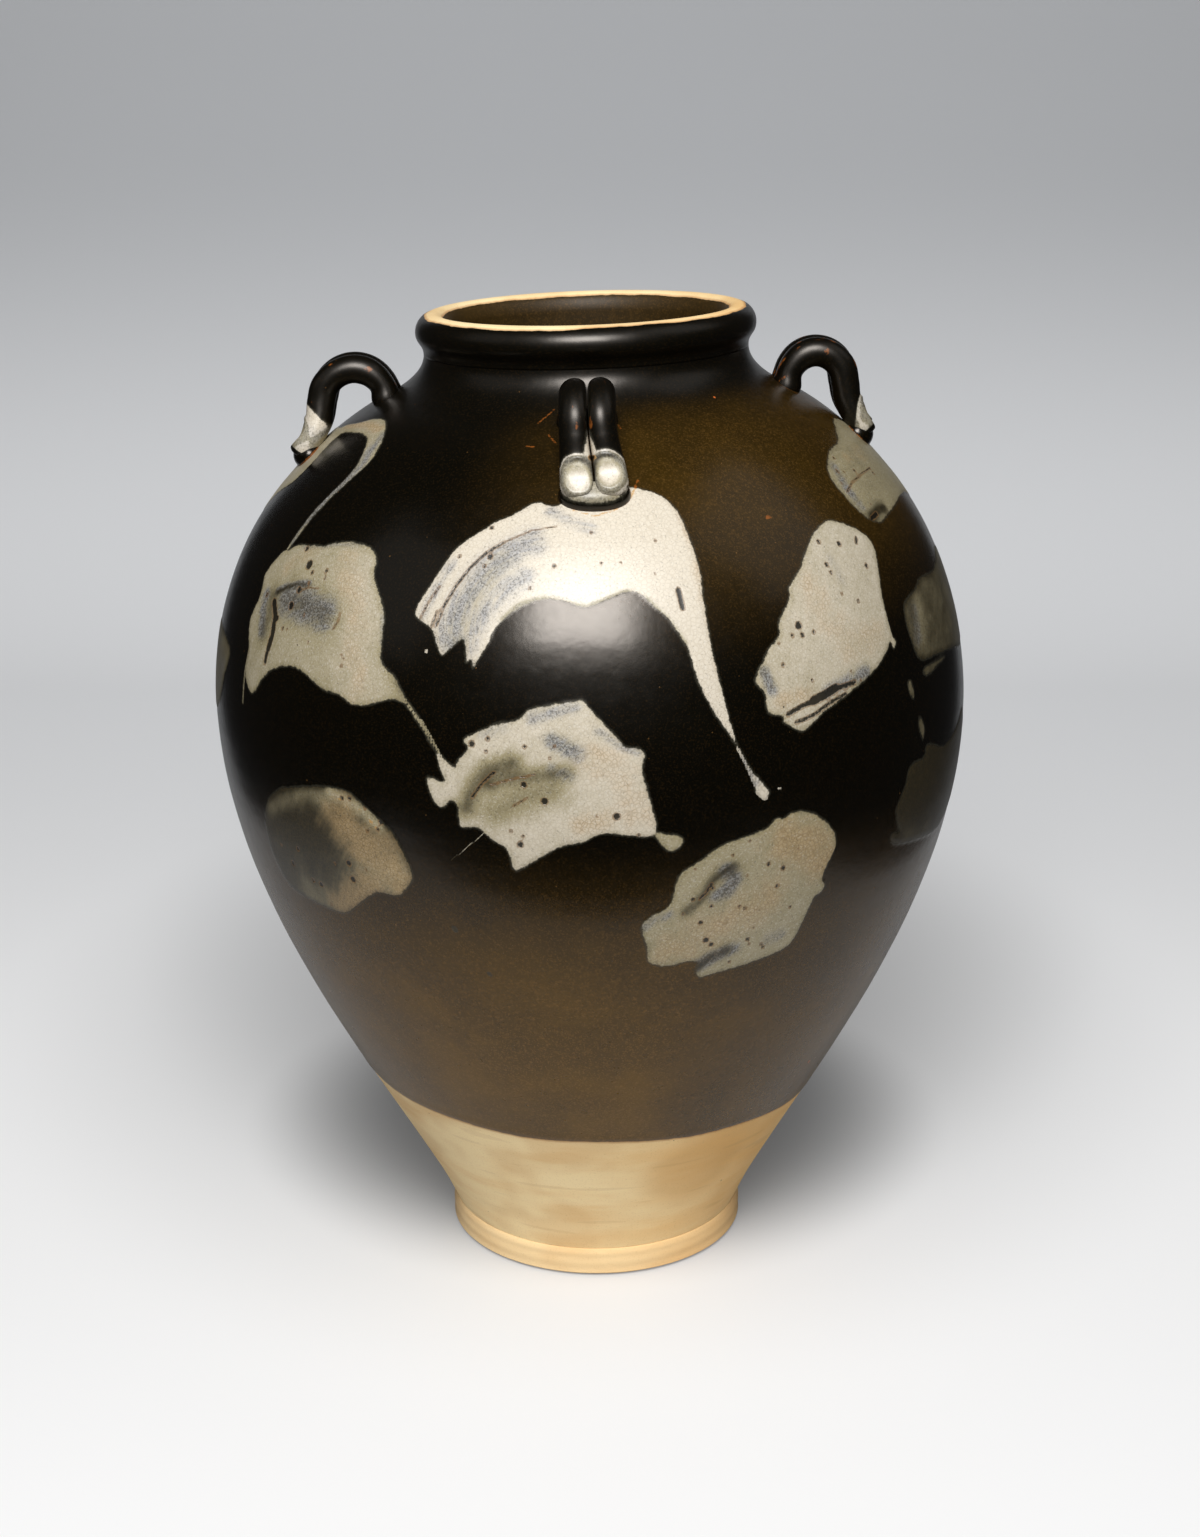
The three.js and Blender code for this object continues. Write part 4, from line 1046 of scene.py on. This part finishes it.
def turned_piece(name, first_row, last_row, inner_line, material):
    """A thrown section: rows of the outer skin, then back along the inner line, closed on itself."""
    rows = slice(first_row, last_row + 1)
    inner = on_wheel(inner_line[:, :1], inner_line[:, 1:])
    points = np.concatenate([skin_points[rows], inner])
    quads = wheel_faces(len(points))
    inner_normals = surface_normals(np.concatenate([inner, inner[:1]]))[:-1]
    normals = np.concatenate([skin_normals[rows], inner_normals]).reshape(-1, 3)[quads.ravel()]
    grid = inner.shape[:2]
    inside = plain_marks(grid)
    inside.update(brown=np.full(grid, INSIDE_BROWN), matt=np.full(grid, INSIDE_MATT))
    marks = {mark: np.concatenate([values[rows], inside.get(mark, np.zeros(grid))])
             for mark, values in skin_marks.items()}
    return finish_mesh(name, points.reshape(-1, 3), quads.tolist(), material, marks, normals)


def inner_wall(line, thickness, spacing=15.0):
    """The inside of a thrown section, from its top down."""
    inside = line - outwards(line) * thickness
    travelled = lengths(inside)
    wanted = np.linspace(travelled[-1], 0, max(4, round(travelled[-1] / spacing) + 1))
    return points_at(inside, travelled, wanted)


belly_row = len(lower_line) - 1
root_row = belly_row + len(shoulder_line) - 1
throat_row = len(outer_line) - 1
lower_inner = inner_wall(lower_line, WALL)
lower_inner[-1] = (INNER_FOOT_RADIUS, FOOT_HEIGHT)
lower = turned_piece("lower_wall_clay", 0, belly_row, lower_inner, glaze)
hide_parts("lower_wall")

# Shoulder wall
# The upper half, of the same clay and glaze. It was thrown apart from the lower one and luted to it at
# the belly while both were soft.
shoulder = turned_piece("shoulder_wall_clay", belly_row, root_row, inner_wall(shoulder_line, WALL), glaze)
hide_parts("shoulder_wall")

# Neck
# A low collar of glazed clay between the shoulder and the lip. It was thrown on top of the shoulder
# and curves in to the throat.
neck_inner = inner_wall(neck_line, WALL, 3.0)
neck_inner[0] = (THROAT_RADIUS - THROAT_WALL, THROAT_HEIGHT)
neck = turned_piece("neck_clay", root_row, throat_row, neck_inner, glaze)
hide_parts("neck")

# Lip
# A thick roll round the mouth. Its crest was wiped bare of glaze, so the pots could be stacked rim to
# rim, and the glaze's edge there burnt to a ragged orange brown.
LIP_EQUATOR_HEIGHT = 387.5
LIP_RADIUS = 67.3
RIM_CREST_RADIUS = 60.0
MOUTH_RADIUS = 54.0
BARE_RIM_OUTER = 63.4
BARE_RIM_INNER = 56.1
LIP_GLAZE = 0.2
LIP_INSET = 0.25


def lip_line():
    """The lip's outline from the throat over the crest and down inside to the throat's bore."""
    halfway = (THROAT_HEIGHT + LIP_EQUATOR_HEIGHT) / 2
    throat, equator = (THROAT_RADIUS, THROAT_HEIGHT), (LIP_RADIUS, LIP_EQUATOR_HEIGHT)
    flank = bezier(*map(np.array, (throat, (THROAT_RADIUS, halfway), (LIP_RADIUS, halfway), equator)), 0.7)
    over = np.linspace(0, np.pi, 36)[1:]
    reach = np.where(over < np.pi / 2, LIP_RADIUS - RIM_CREST_RADIUS, RIM_CREST_RADIUS - MOUTH_RADIUS)
    rise = RIM_HEIGHT - LIP_EQUATOR_HEIGHT
    out = RIM_CREST_RADIUS + reach * np.cos(over)
    up = LIP_EQUATOR_HEIGHT + rise * np.sin(over)
    roll = np.stack([out, up], axis=1)
    steps = np.linspace(0, 1, 10)[1:, None]
    down = roll[-1] + (np.array([THROAT_RADIUS - THROAT_WALL, THROAT_HEIGHT]) - roll[-1]) * steps
    return np.concatenate([flank, roll, down])


def lip_roll():
    """The turned roll, with the glaze's ragged edge on both sides of its wiped crest."""
    line = lip_line()
    away = outwards(line)
    travelled = lengths(line)[:, None]
    crest = line[:, 1] > LIP_EQUATOR_HEIGHT
    outer_edge = np.interp(-BARE_RIM_OUTER, -line[crest, 0], travelled[crest, 0])
    inner_edge = np.interp(-BARE_RIM_INNER, -line[crest, 0], travelled[crest, 0])
    ragged = 0.25 * np.sin(5 * turn) + 0.15 * np.sin(17 * turn + 1)
    ragged = ragged - 0.9 * ramp(np.cos(turn + 0.7), 0.6, 1)
    glazed = np.maximum(outer_edge + ragged - travelled, travelled - inner_edge + 0.6 * ragged)
    inset = SKIN * ramp(travelled, 8, 0) + LIP_INSET * ramp(travelled, 0, 8)
    coat = LIP_GLAZE * ramp(glazed, -0.3, 0.9) - inset
    wobble = 0.12 * np.sin(2 * turn + 0.6) + 0.08 * np.sin(5 * turn + 2)
    points = on_wheel(line[:, :1] + away[:, :1] * (coat + wobble * ramp(travelled, 2, 9)),
                      line[:, 1:] + away[:, 1:] * (coat - 0.1 * ramp(travelled, 2, 9)))
    marks = plain_marks(glazed.shape)
    inwards = ramp(line[:, :1], 62, 56)
    marks["brown"] = np.broadcast_to(INSIDE_BROWN * inwards, glazed.shape)
    marks["matt"] = np.broadcast_to(NECK_MATT + (INSIDE_MATT - NECK_MATT) * inwards, glazed.shape)
    marks["glazed"] = np.clip(glazed, -FAR, FAR)
    return finish_mesh("lip_roll_clay", points.reshape(-1, 3), wheel_faces(len(line)).tolist(), glaze, marks)


lip = lip_roll()
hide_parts("lip_roll")

# Lugs
# Four lugs on the shoulder. Each is two coils of clay laid side by side and bent over a finger, with
# their upper ends pressed on at the neck's root and their toes thumbed down into a heart-shaped pad.
LUG_UPPER_SEAT_RADIUS = 79.2
LUG_ARCH_RISE = 12.6
LUG_SPRING_HEIGHT = 5.8
LUG_LEG_SPLAY = 2.0
LUG_KNEE_STANDOFF = 8.0
LUG_TOE_RUN = 7.5
LUG_TOE_STANDOFF = 3.2
LUG_TOE_DRIFT = 2.2
COIL_RADIUS = 5.75
COIL_FLAT = 4.4
COIL_TIP = 0.45
ROOT_COLLAR = 0.2
KNEADING = 0.12
COIL_GAP = 4.55
COIL_TOE_SPREAD = 0.9
# How much slimmer the clay of coils and pads is than the CAD's, to leave room for lobes and kneading
SLIMMER = 0.985
# How far the whole set of lugs is turned, in degrees
LUG_TURN = 0.5
COIL_STEPS = 140
COIL_SIDES = 64
# The lobe that a thumb left at a coil's toe and the dish in it: how far up the coil, and how big
LOBE_UP = 7.8
LOBE_LENGTH = 8.6
LOBE_WIDTH = 6.7
LOBE_RIM = 0.6
LOBE_STAGGER = 0.9
DISH_UP = 6.0
DISH_LENGTH = 6.6
DISH_WIDTH = 5.4
DISH_DEPTH = 1.1
# The air hole between the two coils
PINHOLE_UP = 14.5
PINHOLE_RADIUS = 1.1
PAD_HALF_WIDTH = 13.2
PAD_NOTCH = 3.5
PAD_REACH = 7.2
PAD_HEIGHT = 5.4
PAD_SUNK = 2.4
PAD_RIPPLE = 0.15
PAD_SIDES = 96


def seat_height(radius):
    """Height of the shoulder's true face at a distance from the axis."""
    line = np.concatenate([shoulder_line, neck_line[1:]])[::-1]
    return np.interp(radius, line[:, 0], line[:, 1])


def lug_line(span):
    """The line a coil is bent over, as distance from the jar's axis and height."""
    middle = LUG_UPPER_SEAT_RADIUS + span / 2
    springing = seat_height(middle) + LUG_SPRING_HEIGHT
    knee = LUG_UPPER_SEAT_RADIUS + span + LUG_LEG_SPLAY
    toe = knee + LUG_TOE_RUN
    arch = [(middle + span / 2 * math.cos(a), springing + LUG_ARCH_RISE * math.sin(a))
            for a in np.linspace(np.pi, 0, 7)]
    root = (LUG_UPPER_SEAT_RADIUS, seat_height(LUG_UPPER_SEAT_RADIUS) - COIL_RADIUS)
    ends = [(knee, seat_height(knee) + LUG_KNEE_STANDOFF), (toe, seat_height(toe) + LUG_TOE_STANDOFF)]
    p = np.array([root, *arch, *ends])
    before, beyond = np.concatenate([p[:1], p[:-2]]), np.concatenate([p[2:], p[-1:]])
    curve = through(before, p[:-1], p[1:], beyond, np.linspace(0, 1, 40)[:, None, None])
    dense = curve.transpose(1, 0, 2).reshape(-1, 2)
    travelled = lengths(dense)
    return points_at(dense, travelled, np.linspace(0, travelled[-1], COIL_STEPS)), travelled[-1]


def on_shoulder(x, y, z, azimuth):
    """From a lug's own axes (out, sideways, up) to its place round the jar."""
    c, s = math.cos(math.radians(azimuth + LUG_TURN)), math.sin(math.radians(azimuth + LUG_TURN))
    return np.stack(fired(x * c - y * s, x * s + y * c, z), axis=-1)


def coil(name, azimuth, span, side, lug):
    """One strand of a lug, with the lobe that a thumb pressed into its toe."""
    line, length = lug_line(span)
    t = np.linspace(0, 1, COIL_STEPS)
    up_from_toe = ((1 - t) * length)[:, None]
    along = directions(line)
    press = ramp(t, 0.55, 0.95)
    tip = 1 - np.maximum(0, 1 - (1 - t) * length / COIL_RADIUS) ** 2
    close = COIL_TIP + (1 - COIL_TIP) * np.sqrt(tip)
    collar = 1 + ROOT_COLLAR * np.exp(-((t * length - 5) / 3.5) ** 2)
    girth = close * collar
    wide = ((1 + 0.2 * press) * girth)[:, None]
    thick = ((0.86 + 0.14 * ramp(t * length, COIL_RADIUS, 22)) * (1 - 0.1 * press) * girth)[:, None]
    offset = (COIL_GAP + COIL_TOE_SPREAD * press)[:, None]
    angle = np.linspace(0, 2 * np.pi, COIL_SIDES, endpoint=False)
    outer = np.sin(angle)
    flat = COIL_FLAT / np.maximum(np.cos(angle), 1e-3)
    reach = (COIL_RADIUS ** -9.0 + flat ** -9.0) ** (-1 / 9) * SLIMMER
    sideways = -side * np.cos(angle) * reach * wide
    out = outer * reach * thick
    up_lobe = up_from_toe - LOBE_STAGGER * side
    from_lobe = np.hypot((up_lobe - LOBE_UP) / LOBE_LENGTH, sideways / LOBE_WIDTH)
    in_dish = ramp(np.hypot((up_lobe - DISH_UP) / DISH_LENGTH, sideways / DISH_WIDTH), 0.95, 0.15)
    facing = ramp(outer, -0.1, 0.6)
    rim = LOBE_RIM * np.exp(-((from_lobe - 0.84) / 0.16) ** 2)
    dish = DISH_DEPTH * in_dish
    knead = KNEADING * np.sin(t * 19 + side + azimuth)[:, None] * np.sin(angle * 2 + 1)
    out = out + (rim - dish) * facing + knead
    x = line[:, :1] - along[:, 1:] * out
    y = side * offset + sideways + LUG_TOE_DRIFT * press[:, None]
    z = line[:, 1:] + along[:, :1] * out
    points = on_shoulder(x, y, z, azimuth).reshape(-1, 3)
    ring = np.arange(COIL_STEPS * COIL_SIDES).reshape(COIL_STEPS, COIL_SIDES)
    faces = bands(ring).tolist() + [ring[0][::-1].tolist(), ring[-1].tolist()]
    if side > 0:
        faces = [face[::-1] for face in faces]
    lobe = np.minimum((1 - from_lobe) * 8 + 1, (outer + 0.25) * 6)
    dipped = np.minimum(lug["dip"] + lug["slant"] * outer - up_from_toe, (up_from_toe - 2.5) * 2)
    middle = np.abs(y - LUG_TOE_DRIFT * press[:, None])
    slit = np.minimum(2.6 * ramp(up_from_toe, 27, 15) - middle, (up_from_toe - 6) * 0.5)
    slit = np.minimum(slit, outer * 9)
    marks = plain_marks(ring.shape)
    thumbed = np.maximum(lobe, slit) if lug["lobes"] else -FAR
    marks["splash"] = np.clip(np.maximum(thumbed, dipped), -FAR, FAR)
    # The slip is drawn darker in a ring round the upper side of each lobe's dish: thin, speckled slip, and
    # painted shade in the hollow.
    thin = np.exp(-((from_lobe - 0.74) / 0.16) ** 2) * ramp(up_from_toe - side * sideways * 0.6, 6, 14)
    marks["tone"] = np.where(from_lobe < 1, 0.5 + 0.6 * in_dish, 1.1) * (1 - lug["dark"]) - 0.34 * thin
    marks["blue"] = 0.5 * np.exp(-((from_lobe - 0.9) / 0.3) ** 2) + 0.2 * thin
    marks["matt"] = np.ones(ring.shape)
    pinhole = np.hypot(up_from_toe - PINHOLE_UP, middle) + (outer < 0) * 6
    marks["stroke"] = PINHOLE_RADIUS - pinhole if lug["lobes"] else marks["stroke"]
    rng = np.random.default_rng(round(azimuth) * 7 + side + 900)
    amber = PINHOLE_RADIUS + 0.4 - pinhole if lug["lobes"] else np.full(ring.shape, -3.0)
    for _ in range(lug["flecks"]):
        place, aside = rng.uniform(16, length - 3), rng.uniform(-5.5, 5.5)
        gap = np.hypot((up_from_toe - place) * 0.4, sideways - aside) + (outer < 0) * 6
        amber = np.maximum(amber, rng.uniform(0.0, 0.5) - gap)
    marks["amber"] = amber
    return finish_mesh(name, points, faces, glaze, marks)


def pad_outline(bearing):
    """The heart's reach towards each bearing, nothing being uphill."""
    wide, high = PAD_HALF_WIDTH, PAD_REACH
    upper = bezier(*map(np.array, ((0, PAD_NOTCH), (2.5, high), (wide, high), (wide, 0))), 0.5)
    lower = bezier(*map(np.array, ((wide, 0), (wide, -5), (6.3, -high), (0, -high))), 0.5)
    half = np.concatenate([upper, lower])
    whole = np.concatenate([half, half * (-1, 1)])
    reached = np.arctan2(whole[:, 0], whole[:, 1])
    order = np.argsort(reached)
    return np.interp(bearing, reached[order], np.hypot(*whole[order].T), period=2 * np.pi)


def pad(name, azimuth, span, lug):
    """The lump of clay under the toes: a heart with a rounded edge, sunk a little into the shoulder."""
    bearing = np.linspace(-np.pi, np.pi, PAD_SIDES, endpoint=False)
    edge = pad_outline(bearing) * SLIMMER
    share = np.append(np.linspace(0, 1, 24)[1:], (1.0, 0.5))[:, None]
    ripple = PAD_RIPPLE * np.sin(3 * bearing + azimuth)
    lift = PAD_HEIGHT * (1 - share ** 3.4) ** 0.62 + ripple * share
    lift[-2:] = ((-PAD_SUNK / 2,), (-PAD_SUNK,))
    across = np.append(share * edge * np.sin(bearing), np.zeros((1, PAD_SIDES)), axis=0)
    uphill = np.append(share * edge * np.cos(bearing), np.zeros((1, PAD_SIDES)), axis=0)
    lift = np.append(lift, np.full((1, PAD_SIDES), PAD_HEIGHT), axis=0)
    middle = LUG_UPPER_SEAT_RADIUS + span + LUG_LEG_SPLAY + LUG_TOE_RUN / 2
    half = PAD_REACH / 2
    slope = math.atan2(seat_height(middle - half) - seat_height(middle + half), PAD_REACH)
    x = middle - uphill * math.cos(slope) + lift * math.sin(slope)
    z = seat_height(middle) + uphill * math.sin(slope) + lift * math.cos(slope)
    rings = len(share)
    points = on_shoulder(x, across + LUG_TOE_DRIFT, z, azimuth).reshape(-1, 3)[:rings * PAD_SIDES + 1]
    ring = np.arange(rings * PAD_SIDES).reshape(rings, PAD_SIDES)
    crown = [(rings * PAD_SIDES, int(b), int(a)) for a, b in zip(ring[0], np.roll(ring[0], -1))]
    marks = plain_marks(len(points))
    reach = np.append(np.broadcast_to(share, ring.shape).ravel(), 0)
    height = lift.ravel()[:len(points)]
    marks["splash"] = (lug["rim"] - reach) * 9
    marks["tone"] = np.full(len(points), 0.6)
    marks["blue"] = np.full(len(points), 0.4)
    marks["amber"] = -0.25 - 0.8 * height
    return finish_mesh(name, points, bands(ring).tolist() + crown + [ring[-1].tolist()], glaze, marks)


# How the pale slip caught each lug: how far up the leg and how much further on its outer face, whether
# it fills the two lobes, how much of the pad it covers, how dull it is, and how many flecks on each
# coil are burnt orange. Before that come the lug's azimuth and how far its coils reach out.
LUGS = {
    "front": (-90, 25.2, {"dip": -20, "slant": 3, "lobes": True, "rim": 0.84, "dark": 0.0, "flecks": 6}),
    "right": (0, 23.2, {"dip": 10, "slant": 7, "lobes": False, "rim": 0.4, "dark": 0.2, "flecks": 20}),
    "back": (90, 25.0, {"dip": -20, "slant": 3, "lobes": True, "rim": 0.84, "dark": 0.1, "flecks": 6}),
    "left": (180, 25.8, {"dip": 19, "slant": 4, "lobes": False, "rim": 0.5, "dark": 0.0, "flecks": 16}),
}
for place, (azimuth, span, lug) in LUGS.items():
    for name, side in (("left", -1), ("right", 1)):
        strand = coil(f"{place}_lug_{name}_coil_clay", azimuth, span, side, lug)
        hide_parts(f"{place}_lug_{name}_coil")
    lump = pad(f"{place}_lug_pad_clay", azimuth, span, lug)
    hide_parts(f"{place}_lug_pad")

# Studio
# A sheet of pale paper runs under the jar and curves up behind it. One big soft box stands above the
# camera. A bank overhead and a fill at the left are so weak that they only lift the darkest sides.

# The two soft shadows on the paper, in millimetres: how far behind the jar's middle each one lies, how
# far from there it is full, where it ends, how dark it is and how much longer than wide.
SHADOWS = [(95, 80, 172, 0.64, 1.0), (230, 120, 330, 0.22, 1.2)]
BLACK = (0, 0, 0, 1)
PAPER_NEAR = paint(198, 198, 198)
PAPER_FAR = paint(194, 196, 199)
# What the paper gives off to the camera alone, so that it looks evenly lit
PAPER_GLOW = (0.34, 0.34, 0.34, 1)


def sweep_look():
    """Paper with painted shadows behind the jar, and a glow seen by the camera alone that rises towards the
    camera, where the box lights it.
    """
    recipe = Recipe("studio_paper")
    across, depth, rise = recipe.axes(recipe.place)
    shade = 1.0
    for middle, full, end, dark, longer in SHADOWS:
        behind = (depth - middle) / longer
        cover = recipe.step(across * across + behind * behind, end ** 2, full ** 2)
        shade = (1 - cover * dark) * shade
    colour = recipe.blend(PAPER_NEAR, PAPER_FAR, recipe.step(depth, -100, 900))
    colour = recipe.blend(BLACK, colour, shade)
    recipe.feed(recipe.surface.inputs["Base Color"], colour)
    recipe.feed(recipe.surface.inputs["Roughness"], 0.9)
    seen = recipe.node("LightPath", output="Is Camera Ray")
    lit = (1 - 0.18 * recipe.step(depth, 0, 500)) * (0.1 + 0.9 * recipe.step(rise, 400, 0))
    glow = recipe.blend(BLACK, PAPER_GLOW, seen * lit * shade)
    recipe.feed(recipe.surface.inputs["Emission Color"], glow)
    recipe.feed(recipe.surface.inputs["Emission Strength"], 1.0)
    return recipe.material


def studio_sweep():
    """The paper, in metres. It widens towards its back, and is narrow enough not to mirror in the jar."""
    bend = np.linspace(0, np.pi / 2, 24)
    line = [(-0.33, 0.0), (0.3, 0.0), (0.6, 0.0)]
    line += [(0.85 + 0.5 * math.sin(a), 0.5 - 0.5 * math.cos(a)) for a in bend] + [(1.35, 0.85)]
    points = []
    for y, z in line:
        wider = ramp(y, 0.2, 1.1)
        points += [(-0.46 - 0.24 * wider, y, z), (0.385 + 0.3 * wider, y, z)]
    faces = [(2 * i, 2 * i + 1, 2 * i + 3, 2 * i + 2) for i in range(len(line) - 1)]
    mesh = bpy.data.meshes.new("studio_sweep")
    mesh.from_pydata(points, [], faces)
    mesh.shade_smooth()
    mesh.materials.append(sweep_look())
    return placed("studio_sweep", mesh)


def soft_box(name, place, aim, wide, high, watts):
    """A flat lamp in metres, turned to face the point that it aims at."""
    lamp = bpy.data.lights.new(name, "AREA")
    lamp.shape = "RECTANGLE"
    lamp.size, lamp.size_y, lamp.energy = wide, high, watts
    box = placed(name, lamp)
    box.location = place
    back = np.array(place) - np.array(aim)
    pitch = math.atan2(math.hypot(back[0], back[1]), back[2])
    box.rotation_euler = (pitch, 0, math.atan2(back[0], -back[1]))


studio_sweep()
soft_box("key_soft_box", (-0.08, -1.55, 1.64), (0, 0, 0.25), 1.0, 0.86, 60)
soft_box("overhead_bank", (1.5, -0.2, 1.9), (0, 0, 0.1), 1.4, 1.4, 3)
soft_box("left_fill", (-1.5, -0.5, 1.3), (0, 0, 0.2), 1.2, 1.2, 1.2)


def studio_air():
    """Pale to the camera, and almost dark to everything else, like a room with its blinds down."""
    world = bpy.data.worlds.new("studio_air")
    world.use_nodes = True
    nodes = world.node_tree.nodes
    path = nodes.new("ShaderNodeLightPath")
    shade = nodes.new("ShaderNodeMix")
    shade.data_type = "RGBA"
    shade.inputs[6].default_value = (0.02, 0.02, 0.021, 1)
    shade.inputs[7].default_value = (0.62, 0.64, 0.66, 1)
    world.node_tree.links.new(path.outputs["Is Camera Ray"], shade.inputs[0])
    world.node_tree.links.new(shade.outputs[2], nodes["Background"].inputs["Color"])
    return world


bpy.context.scene.world = studio_air()

# The camera stands where the ellipses of the foot and the mouth put it in the photograph.
camera = placed("camera", bpy.data.cameras.new("camera"))
camera.data.sensor_fit = "VERTICAL"
camera.data.sensor_height = 36
camera.data.lens = 54.01
camera.location = (0.0015, -0.920, 0.497)
camera.rotation_euler = (math.radians(72.33), 0, 0)
bpy.context.scene.camera = camera
bpy.context.scene.view_settings.view_transform = "Standard"
